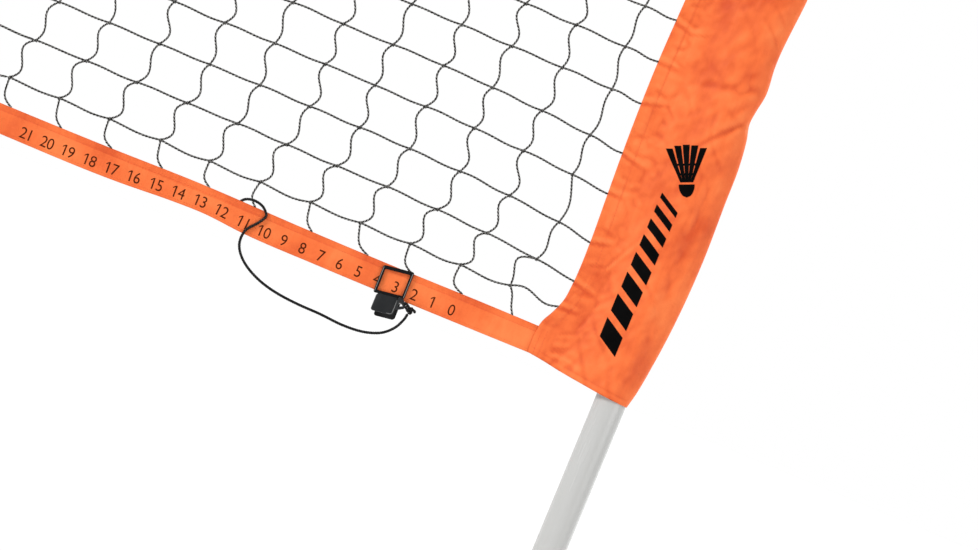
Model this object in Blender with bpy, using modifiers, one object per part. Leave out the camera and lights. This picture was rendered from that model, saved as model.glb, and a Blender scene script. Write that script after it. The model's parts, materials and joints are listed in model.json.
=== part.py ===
"""Portable badminton net: free-standing base, telescoping poles, net with sleeves and sliding scorers.

Units are metres, +Z up. X runs along the net and the play side faces -Y. The origin is on the floor
under the middle of the net. The net is the same seen from either side of the court: the left end is
the right end turned half a turn about Z, so each end is built once, in the frame of an end empty
that stands on the floor under its pole, with the net's middle towards -X.
"""
from math import cos, pi, radians, sin

import bmesh
import bpy
from mathutils import Matrix, Vector

MM = 0.001
GAP = 0.3 * MM  # clearance that touching pieces keep

# net and heights
POLE_X = 1500 * MM  # pole axis from the middle of the net
TOP_Z = 1550 * MM
SLEEVE_BOTTOM_Z = 915 * MM
BOTTOM_TAPE_Z = (927.5 * MM, 954 * MM)
TOP_TAPE_Z = (1500 * MM, TOP_Z - GAP)
TAPE_HALF_THICKNESS = 0.75 * MM
NET_THICKNESS = 1.0 * MM
HEAD_CORD_R = 1.8 * MM

# sleeve, measured from the pole axis towards the net's middle
SLEEVE_OUTER = 28.5 * MM
SLEEVE_HEM = 74.5 * MM
SLEEVE_HEM_AT_TAPE = 88.7 * MM
SLEEVE_FLARE_TOP_Z = 987 * MM
SLEEVE_BOTTOM_RISE = 12.8 * MM  # the lower edge climbs from the pole side to the hem
SLEEVE_CLOTH = 0.8 * MM

# poles
UPPER_POLE_R, UPPER_POLE_WALL = 15.0 * MM, 1.2 * MM
LOWER_POLE_R, LOWER_POLE_WALL = 18.0 * MM, 1.5 * MM
UPPER_POLE_Z = (420 * MM, 1543 * MM)
LOWER_POLE_Z = (50 * MM + GAP, 480 * MM)
BUSH_HEIGHT = 26 * MM

# base
HUB_SIZE = (62 * MM, 60 * MM, 88 * MM)
HUB_BOTTOM_Z = 6 * MM
LEG_R, LEG_WALL = 12.5 * MM, 1.2 * MM
LEG_PIN_Y = 48 * MM
LEG_PIN_Z = 18 * MM
LEG_PIN_R = 4.0 * MM
LEG_LENGTH = 400 * MM
LEG_HEEL = 10 * MM  # tube past the pin, towards the hub
EAR_THICKNESS = 6 * MM
FOOT_SIZE = (34 * MM, 42 * MM, 33 * MM)
BAR_R, BAR_WALL = 12.5 * MM, 1.5 * MM
BAR_Z = 30 * MM
BAR_JOINT_X = 500 * MM
BAR_SOCKET = 27 * MM
COUPLER_R, COUPLER_LENGTH = 14.6 * MM, 80 * MM
BUTTON_R = 2.8 * MM
BUTTON_FROM_JOINT = 20 * MM

# height clamp
COLLAR_R = 24 * MM
COLLAR_Z = (442 * MM, 508 * MM)
CLAMP_Z = 495 * MM
CLAMP_EAR_X = 32 * MM
CLAMP_EAR_SIZE = (22 * MM, 22 * MM, 22 * MM)
CLAMP_SLOT = 2 * MM
CLAMP_BOLT_R = 2.5 * MM
LEVER_PIN_Y = -17 * MM
LEVER_PIN_R = 2.5 * MM
LEVER_HEIGHT = 16 * MM

# scorer: a sprung clip with a window, seen from its own empty at the window's centre
SCORER_X = 1272 * MM
SCORER_Z = 941 * MM
SCORER_TILT = radians(7)
WINDOW_SIZE = (27.5 * MM, 26 * MM)
WINDOW_BAR = 2.8 * MM
JAW_Y = (1.1 * MM, 3.4 * MM)  # nearest and farthest face of a jaw from the middle of the tape
PAD_WIDTH = 20 * MM
SCORER_PIN_Z = -18.2 * MM
SCORER_PIN_R = 1.2 * MM
SCORER_EAR_R = 3.0 * MM
KNOT_AT = (20.4 * MM, -5.0 * MM, -22.3 * MM)
KNOT_R = 2.6 * MM

TETHER_R = 1.15 * MM
# tether route from the scorer's knot, down, along, up over the tape's top edge and behind it:
# distance from the pole towards the net's middle, depth, height above the sleeve's bottom, in mm
TETHER_ROUTE = (
    (205.5, -5.0, 3.0), (207.0, -5.0, -4.0), (212.0, -4.7, -14.0), (222.0, -4.5, -23.0),
    (238.0, -4.2, -28.5), (258.0, -3.9, -30.0), (281.0, -3.6, -28.5), (303.0, -3.4, -28.0),
    (325.0, -3.2, -26.0), (344.0, -3.0, -21.5), (360.0, -2.8, -14.0), (370.5, -2.6, -5.0),
    (375.5, -2.5, 5.0), (374.5, -2.4, 17.0), (366.5, -2.4, 27.5), (362.0, -2.4, 35.5),
    (368.5, -1.4, 42.5), (378.0, 0.2, 45.0), (385.5, 1.9, 44.0), (390.5, 2.5, 38.5),
    (391.5, 2.5, 28.0),
)
ENDS = (("right", 0.0), ("left", pi))


# scene helpers

def clear_scene():
    for item in list(bpy.data.objects):
        bpy.data.objects.remove(item, do_unlink=True)


def new_collection(name):
    group = bpy.data.collections.new(name)
    bpy.context.scene.collection.children.link(group)
    return group


def new_material(name, colour, roughness, metallic=0.0):
    made = bpy.data.materials.new(name)
    made.use_nodes = True
    shader = made.node_tree.nodes["Principled BSDF"]
    shader.inputs["Base Color"].default_value = (*colour, 1.0)
    shader.inputs["Roughness"].default_value = roughness
    shader.inputs["Metallic"].default_value = metallic
    return made


clear_scene()
PARTS = new_collection("portable_badminton_net")
CUTTERS = new_collection("cutters")
FABRIC = new_material("orange_fabric", (1.0, 0.18, 0.05), 0.75)
TWINE = new_material("black_twine", (0.02, 0.02, 0.02), 0.85)
POLE_COAT = new_material("grey_coated_steel", (0.68, 0.68, 0.66), 0.35, 0.3)
BASE_COAT = new_material("black_coated_steel", (0.03, 0.03, 0.03), 0.45, 0.3)
MOULDED = new_material("black_nylon", (0.025, 0.025, 0.027), 0.55)
RUBBER = new_material("black_rubber", (0.015, 0.015, 0.015), 0.85)
STEEL = new_material("zinc_steel", (0.6, 0.6, 0.58), 0.3, 1.0)


def new_empty(name, parent=None, at=(0, 0, 0), turn=(0, 0, 0)):
    point = bpy.data.objects.new(name, None)
    point.parent = parent
    point.location = at
    point.rotation_euler = turn
    PARTS.objects.link(point)
    return point


def place(item, material, parent=None, at=(0, 0, 0), turn=(0, 0, 0), cutter=False):
    """Put an object into its collection, under its parent, with its material."""
    for group in list(item.users_collection):
        group.objects.unlink(item)
    (CUTTERS if cutter else PARTS).objects.link(item)
    item.parent = parent
    item.location = at
    item.rotation_euler = turn
    if cutter:
        item.hide_render = True
        item.display_type = "WIRE"
    else:
        item.data.materials.clear()
        item.data.materials.append(material)
    return item


def smooth(item, angle=35):
    item.data.shade_smooth()
    item.data.set_sharp_from_angle(angle=radians(angle))
    return item


def new_box(name, size, centre=(0, 0, 0)):
    """Box with its place in its mesh, so that the object's origin stays free for a joint axis."""
    mesh = bpy.data.meshes.new(name)
    shape = bmesh.new()
    bmesh.ops.create_cube(shape, size=1.0)
    bmesh.ops.scale(shape, vec=size, verts=shape.verts)
    bmesh.ops.translate(shape, vec=centre, verts=shape.verts)
    shape.to_mesh(mesh)
    shape.free()
    return bpy.data.objects.new(name, mesh)


def new_rod(name, radius, start, end, sides=12):
    """Solid cylinder between two points."""
    start, end = Vector(start), Vector(end)
    run = end - start
    mesh = bpy.data.meshes.new(name)
    shape = bmesh.new()
    bmesh.ops.create_cone(shape, cap_ends=True, segments=sides, radius1=radius, radius2=radius,
                          depth=run.length)
    turn = run.to_track_quat("Z", "Y").to_matrix().to_4x4()
    bmesh.ops.transform(shape, matrix=Matrix.Translation((start + end) / 2) @ turn, verts=shape.verts)
    shape.to_mesh(mesh)
    shape.free()
    return bpy.data.objects.new(name, mesh)


def new_bore(name, radius, start, end, sides=12):
    """Cutter for a hole whose flats, not only its corners, clear the radius."""
    return new_rod(name, radius / cos(pi / sides), start, end, sides)


def new_turned(name, profile, closed, steps=20, about="Z"):
    """Screw a profile of (radius, height) about an axis; a closed profile makes a ring or tube."""
    mesh = bpy.data.meshes.new(name)
    count = len(profile)
    edges = [(i, i + 1) for i in range(count - 1)]
    if closed:
        edges.append((count - 1, 0))
    mesh.from_pydata([(radius, 0, height) for radius, height in profile], edges, [])
    item = bpy.data.objects.new(name, mesh)
    screw = item.modifiers.new("turn", "SCREW")
    screw.steps = steps
    screw.render_steps = steps
    screw.use_merge_vertices = True
    screw.merge_threshold = 0.00001
    if about == "Z":
        return item
    return to_mesh(item, Matrix.Rotation(pi / 2, 4, "Y" if about == "X" else "X"))


def to_mesh(item, turn=Matrix.Identity(4)):
    """Replace an object by a plain mesh of its evaluated shape, with its loose caps welded."""
    PARTS.objects.link(item)
    bpy.context.view_layer.update()
    solid = item.evaluated_get(bpy.context.evaluated_depsgraph_get())
    mesh = bpy.data.meshes.new_from_object(solid)
    name = item.name
    bpy.data.objects.remove(item, do_unlink=True)
    shape = bmesh.new()
    shape.from_mesh(mesh)
    bmesh.ops.remove_doubles(shape, verts=shape.verts, dist=0.000001)
    bmesh.ops.transform(shape, matrix=turn, verts=shape.verts)
    bmesh.ops.recalc_face_normals(shape, faces=shape.faces)
    shape.to_mesh(mesh)
    shape.free()
    made = bpy.data.objects.new(name, mesh)
    mesh.name = name
    return made


def new_outline(name, loops, thickness, plane="XY"):
    """Flat outline, holes included, extruded both ways from its plane, as a mesh."""
    curve = bpy.data.curves.new(name, "CURVE")
    curve.dimensions = "2D"
    curve.fill_mode = "BOTH"
    curve.extrude = thickness / 2
    curve.render_resolution_u = 0
    for points in loops:
        line = curve.splines.new("POLY")
        line.points.add(len(points) - 1)
        line.use_cyclic_u = True
        for spot, (across, up) in zip(line.points, points):
            spot.co = (across, up, 0, 1)
    # XZ: (across, up) become x and z; YZ: they become y and z
    upright = Matrix.Rotation(pi / 2, 4, "X")
    turns = {"XY": Matrix.Identity(4), "XZ": upright, "YZ": Matrix.Rotation(pi / 2, 4, "Z") @ upright}
    return to_mesh(bpy.data.objects.new(name, curve), turns[plane])


def new_wire(name, route, radius, sides=2):
    """Round wire or cord along a list of points."""
    curve = bpy.data.curves.new(name, "CURVE")
    curve.dimensions = "3D"
    curve.bevel_depth = radius
    curve.bevel_resolution = sides
    curve.use_fill_caps = True
    curve.render_resolution_u = 0
    line = curve.splines.new("POLY")
    line.points.add(len(route) - 1)
    for spot, point in zip(line.points, route):
        spot.co = (*point, 1)
    return bpy.data.objects.new(name, curve)


def boolean(item, tool, operation):
    step = item.modifiers.new(operation.lower(), "BOOLEAN")
    step.operation = operation
    step.solver = "EXACT"
    step.object = tool
    return item


def add(item, tool, parent=None, at=(0, 0, 0), turn=(0, 0, 0)):
    return boolean(item, place(tool, None, parent, at, turn, cutter=True), "UNION")


def cut(item, tool, parent=None, at=(0, 0, 0), turn=(0, 0, 0)):
    return boolean(item, place(tool, None, parent, at, turn, cutter=True), "DIFFERENCE")


def bevel(item, width, segments=2):
    step = item.modifiers.new("round_edges", "BEVEL")
    step.width = width
    step.segments = segments
    step.limit_method = "ANGLE"
    return item


def tube_profile(outer, wall, low, high):
    return ((outer, high), (outer, low), (outer - wall, low), (outer - wall, high))


def arc(centre, radius, start, end, count):
    """Points on an arc, angles in degrees."""
    spots = []
    for i in range(count):
        angle = radians(start + (end - start) * i / (count - 1))
        spots.append((centre[0] + radius * cos(angle), centre[1] + radius * sin(angle)))
    return spots


def smooth_route(points, spacing):
    """Catmull-Rom curve through the points, sampled about every spacing."""
    points = [Vector(point) for point in points]
    ends = [2 * points[0] - points[1], *points, 2 * points[-1] - points[-2]]
    route = [points[0]]
    for before, here, after, beyond in zip(ends, ends[1:], ends[2:], ends[3:]):
        count = max(1, round((after - here).length / spacing))
        for i in range(1, count + 1):
            t = i / count
            route.append(0.5 * (2 * here + (after - before) * t
                                + (2 * before - 5 * here + 4 * after - beyond) * t * t
                                + (3 * here - before - 3 * after + beyond) * t ** 3))
    return route


# base

def make_hub(side, end):
    """Moulded hub: pole socket on top, bar socket facing inwards, a pair of ears for each leg."""
    wide, deep, high = HUB_SIZE
    hub = new_box(f"{side}_hub", HUB_SIZE, (0, 0, HUB_BOTTOM_Z + high / 2))
    place(hub, MOULDED, end)
    bevel(hub, 5 * MM)
    ear_x = LEG_R + 0.5 * MM + EAR_THICKNESS / 2
    for way in (-1, 1):
        for flank in (-1, 1):
            ear = new_outline(f"{side}_hub_ear", [ear_outline()], EAR_THICKNESS, "YZ")
            for corner in ear.data.vertices:
                corner.co.y *= way
            if way < 0:
                ear.data.flip_normals()
            add(hub, ear, end, (flank * ear_x, 0, 0))
        pin_hole = new_bore("pin_hole", LEG_PIN_R + GAP, (-wide, 0, 0), (wide, 0, 0))
        cut(hub, pin_hole, end, (0, way * LEG_PIN_Y, LEG_PIN_Z))
    pole_socket = new_bore("pole_socket", LOWER_POLE_R + GAP, (0, 0, 50 * MM), (0, 0, 120 * MM), 20)
    cut(hub, pole_socket, end)
    bar_socket = new_bore("bar_socket", BAR_R + GAP, (-wide, 0, 0), (-wide / 2 + BAR_SOCKET, 0, 0), 16)
    cut(hub, bar_socket, end, (0, 0, BAR_Z))


def ear_outline():
    """Side outline of a leg ear, from inside the hub's wall to the rounded end past the pin."""
    reach = 11.5 * MM
    root = HUB_SIZE[1] / 2 - 4 * MM
    low, high = LEG_PIN_Z - reach, LEG_PIN_Z + reach + 6 * MM
    nose = arc((LEG_PIN_Y, LEG_PIN_Z), reach, -90, 60, 7)
    return [(root, low), *nose, (root + 8 * MM, high), (root, high)]


def make_hub_pad(side, end):
    pad = new_box(f"{side}_hub_pad", (56 * MM, 54 * MM, HUB_BOTTOM_Z - GAP),
                  (0, 0, (HUB_BOTTOM_Z - GAP) / 2))
    place(pad, RUBBER, end)
    bevel(pad, 1.5 * MM)


def make_leg(side, end, way):
    """Folding leg on its own empty at the pin: tube, foot and pin."""
    where = "front" if way < 0 else "rear"
    pivot = new_empty(f"{side}_{where}_leg_pivot", end, (0, way * LEG_PIN_Y, LEG_PIN_Z))
    tube = new_turned(f"{side}_{where}_leg", tube_profile(LEG_R, LEG_WALL, -LEG_HEEL, LEG_LENGTH), True, 16)
    lying = (-way * pi / 2, 0, 0)
    place(tube, BASE_COAT, pivot, turn=lying)
    cut(tube, new_bore("leg_pin_hole", LEG_PIN_R + GAP, (-30 * MM, 0, 0), (30 * MM, 0, 0)), pivot)
    smooth(tube)

    foot_y = way * (LEG_LENGTH - FOOT_SIZE[1] / 2 + 6 * MM)
    foot = new_box(f"{side}_{where}_foot", FOOT_SIZE, (0, foot_y, FOOT_SIZE[2] / 2 - LEG_PIN_Z))
    place(foot, RUBBER, pivot)
    bevel(foot, 4 * MM)
    socket = new_bore("foot_socket", LEG_R + GAP, (0, 0, 0), (0, way * (LEG_LENGTH + GAP), 0))
    cut(foot, socket, pivot)

    head, shank = 22 * MM, 19.5 * MM
    profile = [(0, head), (6.5 * MM, head), (6.5 * MM, shank), (LEG_PIN_R, shank),
               (LEG_PIN_R, -shank), (6.5 * MM, -shank), (6.5 * MM, -head), (0, -head)]
    pin = new_turned(f"{side}_{where}_leg_pin", profile, False, 12, "X")
    place(pin, STEEL, end, (0, way * LEG_PIN_Y, LEG_PIN_Z))
    smooth(pin)


def make_bars():
    """Three-piece ground bar: a middle tube and, at each end, a tube from the coupler to the hub."""
    inner_end = BAR_JOINT_X - GAP
    profile = tube_profile(BAR_R, BAR_WALL, -inner_end, inner_end)
    middle = new_turned("middle_ground_bar", profile, True, 20, "X")
    smooth(place(middle, BASE_COAT, None, (0, 0, BAR_Z)))
    for side, angle in ENDS:
        facing = new_empty(f"{side}_bar_side", None, (0, 0, BAR_Z), (0, 0, angle))
        hub_face = POLE_X - HUB_SIZE[0] / 2
        bar = new_turned(f"{side}_ground_bar",
                         tube_profile(BAR_R, BAR_WALL, BAR_JOINT_X + GAP, hub_face + BAR_SOCKET - GAP),
                         True, 20, "X")
        place(bar, BASE_COAT, facing)
        button_x = BAR_JOINT_X + BUTTON_FROM_JOINT
        hole_ends = ((0, 0, 0), (0, 0, 30 * MM))
        cut(bar, new_bore("bar_hole", BUTTON_R + GAP, *hole_ends), facing, (button_x, 0, 0))
        smooth(bar)

        half = COUPLER_LENGTH / 2
        coupler_wall = COUPLER_R - BAR_R - GAP
        coupler = new_turned(f"{side}_bar_coupler",
                             tube_profile(COUPLER_R, coupler_wall, BAR_JOINT_X - half, BAR_JOINT_X + half),
                             True, 20, "X")
        place(coupler, MOULDED, facing)
        cut(coupler, new_bore("coupler_hole", BUTTON_R + GAP, *hole_ends), facing, (button_x, 0, 0))
        smooth(coupler)
        make_button(side, facing, button_x)


def make_button(side, facing, button_x):
    """Snap button that locks an outer bar in its coupler, and the leaf spring under it."""
    inside = BAR_R - BAR_WALL
    flange_top = inside - 1.6 * MM
    tip = COUPLER_R + 2.4 * MM
    flange_r, flange_low = 4.2 * MM, flange_top - 1.2 * MM
    profile = [(0, tip), (BUTTON_R * 0.7, tip - 0.4 * MM), (BUTTON_R, tip - 1.4 * MM),
               (BUTTON_R, flange_top), (flange_r, flange_top), (flange_r, flange_low), (0, flange_low)]
    button = new_turned(f"{side}_snap_button", profile, False, 12)
    smooth(place(button, STEEL, facing, (button_x, 0, 0)))

    leaf = 0.8 * MM
    top = flange_low - GAP
    low = -inside + 1.1 * MM
    far, bend = 32 * MM, 6 * MM
    outline = [(-bend, top), (-bend, top - leaf), (far - 1.5 * MM, (top + low) / 2), (-bend, low + leaf),
               (-bend, low), (far, (top + low) / 2 - leaf / 3), (far, (top + low) / 2 + leaf / 3)]
    spring = new_outline(f"{side}_button_spring", [outline], 6 * MM, "XZ")
    place(spring, STEEL, facing, (button_x, 0, 0))


# poles and height clamp

def make_poles(side, end):
    lower_tube = tube_profile(LOWER_POLE_R, LOWER_POLE_WALL, *LOWER_POLE_Z)
    lower = new_turned(f"{side}_lower_pole", lower_tube, True)
    smooth(place(lower, BASE_COAT, end))
    upper_tube = tube_profile(UPPER_POLE_R, UPPER_POLE_WALL, *UPPER_POLE_Z)
    upper = new_turned(f"{side}_upper_pole", upper_tube, True, 32)
    smooth(place(upper, POLE_COAT, end))

    bush_outer = LOWER_POLE_R - LOWER_POLE_WALL - GAP
    bush_wall = bush_outer - UPPER_POLE_R - GAP
    foot_z = UPPER_POLE_Z[0]
    bush_tube = tube_profile(bush_outer, bush_wall, foot_z, foot_z + BUSH_HEIGHT)
    bush = new_turned(f"{side}_pole_bush", bush_tube, True)
    smooth(place(bush, MOULDED, end))

    top = UPPER_POLE_Z[1]
    shank = UPPER_POLE_R - UPPER_POLE_WALL - GAP
    profile = [(0, top + 3 * MM), (shank, top + 3 * MM), (UPPER_POLE_R, top + 2 * MM),
               (UPPER_POLE_R, top + GAP), (shank, top + GAP), (shank, top - 20 * MM), (0, top - 20 * MM)]
    smooth(place(new_turned(f"{side}_pole_cap", profile, False), MOULDED, end))


def make_clamp(side, end):
    """Split collar on top of the lower pole, drawn tight on the upper pole by a bolt and a cam lever."""
    low, high = COLLAR_Z
    seat = LOWER_POLE_Z[1] + GAP
    rough_bore = UPPER_POLE_R - 2 * MM  # the bore is cut to size once the ears are on
    profile = [(COLLAR_R - 2 * MM, high), (COLLAR_R, high - 2 * MM), (COLLAR_R, low + 2 * MM),
               (COLLAR_R - 2 * MM, low), (LOWER_POLE_R + GAP, low), (LOWER_POLE_R + GAP, seat),
               (rough_bore, seat), (rough_bore, high)]
    collar = to_mesh(new_turned(f"{side}_clamp_collar", profile, True, 24))
    place(collar, MOULDED, end)
    add(collar, new_box("clamp_ears", CLAMP_EAR_SIZE, (CLAMP_EAR_X - 3 * MM, 0, CLAMP_Z)), end)
    bore = new_bore("clamp_bore", UPPER_POLE_R + GAP, (0, 0, seat - MM), (0, 0, high + MM), 24)
    cut(collar, bore, end)
    slot_low = seat + MM
    slot = new_box("clamp_slot", (40 * MM, CLAMP_SLOT, high - slot_low + 4 * MM),
                   (UPPER_POLE_R + 16 * MM, 0, (high + slot_low + 4 * MM) / 2))
    cut(collar, slot, end)
    bolt_hole = new_bore("bolt_hole", CLAMP_BOLT_R + GAP, (0, -20 * MM, 0), (0, 20 * MM, 0))
    cut(collar, bolt_hole, end, (CLAMP_EAR_X, 0, CLAMP_Z))
    smooth(collar)

    head_low = CLAMP_EAR_SIZE[1] / 2 + GAP
    tip = LEVER_PIN_Y + LEVER_PIN_R + GAP
    bolt = new_rod(f"{side}_clamp_bolt", CLAMP_BOLT_R, (0, tip, 0), (0, head_low + MM, 0))
    place(bolt, STEEL, end, (CLAMP_EAR_X, 0, CLAMP_Z))
    add(bolt, new_rod("bolt_head", 4.5 * MM, (0, head_low, 0), (0, head_low + 3.5 * MM, 0), 6), end,
        (CLAMP_EAR_X, 0, CLAMP_Z))
    smooth(bolt)

    pivot = new_empty(f"{side}_lever_pivot", end, (CLAMP_EAR_X, LEVER_PIN_Y, CLAMP_Z))
    half = LEVER_HEIGHT / 2
    pin = new_rod(f"{side}_lever_pin", LEVER_PIN_R, (0, 0, -half - MM), (0, 0, half + MM))
    smooth(place(pin, STEEL, end, (CLAMP_EAR_X, LEVER_PIN_Y, CLAMP_Z)))

    cheek = 5.5 * MM
    handle = [(-7 * MM, -8.2 * MM), (-48 * MM, -8.2 * MM), (-51 * MM, -9.4 * MM), (-50 * MM, -11.6 * MM),
              (-46 * MM, -12.5 * MM), (0, -12.5 * MM), (5.5 * MM, -4 * MM)]
    lever = new_outline(f"{side}_clamp_lever", [arc((0, 0), cheek, 0, 180, 9) + handle], LEVER_HEIGHT)
    place(lever, MOULDED, pivot)
    cut(lever, new_bore("lever_pin_hole", LEVER_PIN_R + GAP, (0, 0, -20 * MM), (0, 0, 20 * MM)), pivot)
    cut(lever, new_bore("bolt_slot", cheek + 1.5 * MM, (0, 0, -3 * MM), (0, 0, 3 * MM)), pivot)
    smooth(lever)


# net

def sleeve_hem(height):
    """Distance from the pole axis to the sleeve's inner edge, which flares out to meet the bottom tape."""
    share = (SLEEVE_FLARE_TOP_Z - height) / (SLEEVE_FLARE_TOP_Z - BOTTOM_TAPE_Z[1])
    return SLEEVE_HEM + (SLEEVE_HEM_AT_TAPE - SLEEVE_HEM) * min(max(share, 0), 1)


def sleeve_section(hem):
    """Front half of the sleeve's section: round the pole, then tapering to the hem."""
    front = [(SLEEVE_OUTER, 0), (25 * MM, -7 * MM), (16.5 * MM, -14.5 * MM), (0, -17.5 * MM),
             (-15 * MM, -13.5 * MM), (-32 * MM, -7.5 * MM), (-50 * MM, -3.4 * MM), (-60 * MM, -2 * MM),
             (-hem, -1.6 * MM)]
    return front + [(across, -depth) for across, depth in reversed(front[1:])]


def make_sleeve(side, end):
    """Cloth sleeve over the upper pole: a loft of its sections, open below and closed on top."""
    levels = (SLEEVE_BOTTOM_Z, BOTTOM_TAPE_Z[1], SLEEVE_FLARE_TOP_Z, 1250 * MM, TOP_Z)
    mesh = bpy.data.meshes.new(f"{side}_sleeve")
    shape = bmesh.new()
    rings = []
    for index, height in enumerate(levels):
        hem = sleeve_hem(height)
        ring = []
        for across, depth in sleeve_section(hem):
            rise = SLEEVE_BOTTOM_RISE * (SLEEVE_OUTER - across) / (SLEEVE_OUTER + hem) if index == 0 else 0
            ring.append(shape.verts.new((across, depth, height + rise)))
        rings.append(ring)
    count = len(rings[0])
    for low, high in zip(rings, rings[1:]):
        for i in range(count):
            j = (i + 1) % count
            shape.faces.new((low[i], low[j], high[j], high[i]))
    shape.faces.new(rings[-1])
    bmesh.ops.recalc_face_normals(shape, faces=shape.faces)
    shape.to_mesh(mesh)
    shape.free()
    sleeve = place(bpy.data.objects.new(f"{side}_sleeve", mesh), FABRIC, end)
    cloth = sleeve.modifiers.new("cloth", "SOLIDIFY")
    cloth.thickness = SLEEVE_CLOTH
    cloth.offset = -1
    cloth.use_even_offset = True


def make_tapes():
    """Bottom tape, and a top tape folded over the head cord."""
    half = POLE_X - SLEEVE_HEM_AT_TAPE - GAP
    low, high = BOTTOM_TAPE_Z
    size = (2 * half, 2 * TAPE_HALF_THICKNESS, high - low)
    place(new_box("bottom_tape", size, (0, 0, (low + high) / 2)), FABRIC)

    half = POLE_X - SLEEVE_HEM - GAP
    low, high = TOP_TAPE_Z
    fold = HEAD_CORD_R + 1.6 * MM
    cord_at = (0, high - fold)
    outline = arc(cord_at, fold, -30, 210, 15)
    outline += [(-TAPE_HALF_THICKNESS, high - 3 * fold), (-TAPE_HALF_THICKNESS, low),
                (TAPE_HALF_THICKNESS, low), (TAPE_HALF_THICKNESS, high - 3 * fold)]
    channel = arc(cord_at, HEAD_CORD_R + GAP, 0, 330, 12)
    place(new_outline("top_tape", [outline, channel], 2 * half, "YZ"), FABRIC)
    cord = new_rod("head_cord", HEAD_CORD_R, (-half, 0, cord_at[1]), (half, 0, cord_at[1]), 12)
    smooth(place(cord, TWINE))


def make_net():
    """Knotted mesh panel as one thin sheet, notched where each tether passes over the bottom tape."""
    high = TOP_TAPE_Z[0] - GAP
    low = BOTTOM_TAPE_Z[1] + GAP
    straight = POLE_X - SLEEVE_HEM - GAP
    corner = POLE_X - SLEEVE_HEM_AT_TAPE - GAP
    flare = SLEEVE_FLARE_TOP_Z + MM
    notch_top = SLEEVE_BOTTOM_Z + 48 * MM
    notch_far, notch_near = POLE_X - 397 * MM, POLE_X - 357 * MM
    half_outline = [(straight, high), (straight, flare), (corner, low), (notch_near, low),
                    (notch_near, notch_top), (notch_far, notch_top), (notch_far, low)]
    outline = half_outline + [(-across, up) for across, up in reversed(half_outline)]
    place(new_outline("net_panel", [outline], NET_THICKNESS, "XZ"), TWINE)


# scorer

def pad_outline(way):
    """Side outline of a finger pad: down from the jaw and away from the tape.

    Way is -1 in front of the tape and 1 behind it.
    """
    points = ((3.4, -10.4), (1.2, -10.4), (1.2, -13.6), (3.5, -15.6), (7.0, -30.6), (8.2, -31.4),
              (9.4, -30.8), (6.2, -14.4))
    return [(way * depth * MM, up * MM) for depth, up in points]


def pin_ear_outline(way):
    """Side outline of an ear that carries the pin, rooted in its pad."""
    ring = arc((0, SCORER_PIN_Z), SCORER_EAR_R, 125, -75, 8)
    root = [(-5.4 * MM, -23.5 * MM), (-5.8 * MM, -19 * MM), (-4.6 * MM, -15.8 * MM)]
    return [(-way * depth, up) for depth, up in ring + root]


def finish_jaw(name, clip, way, jaw, ear_x):
    """Complete one half of the clip: a finger pad below the jaw plate and two ears for the pin."""
    near, far = JAW_Y
    place(jaw, MOULDED, clip, (0, way * (near + far) / 2, 0))
    add(jaw, new_outline(f"{name}_pad", [pad_outline(way)], PAD_WIDTH, "YZ"), clip)
    for flank in (-1, 1):
        ear = new_outline(f"{name}_ear", [pin_ear_outline(way)], 2 * MM, "YZ")
        add(jaw, ear, clip, (flank * ear_x, 0, 0))
    hole = new_bore(f"{name}_pin_hole", SCORER_PIN_R + GAP, (-14 * MM, 0, 0), (14 * MM, 0, 0))
    cut(jaw, hole, clip, (0, 0, SCORER_PIN_Z))


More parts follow.
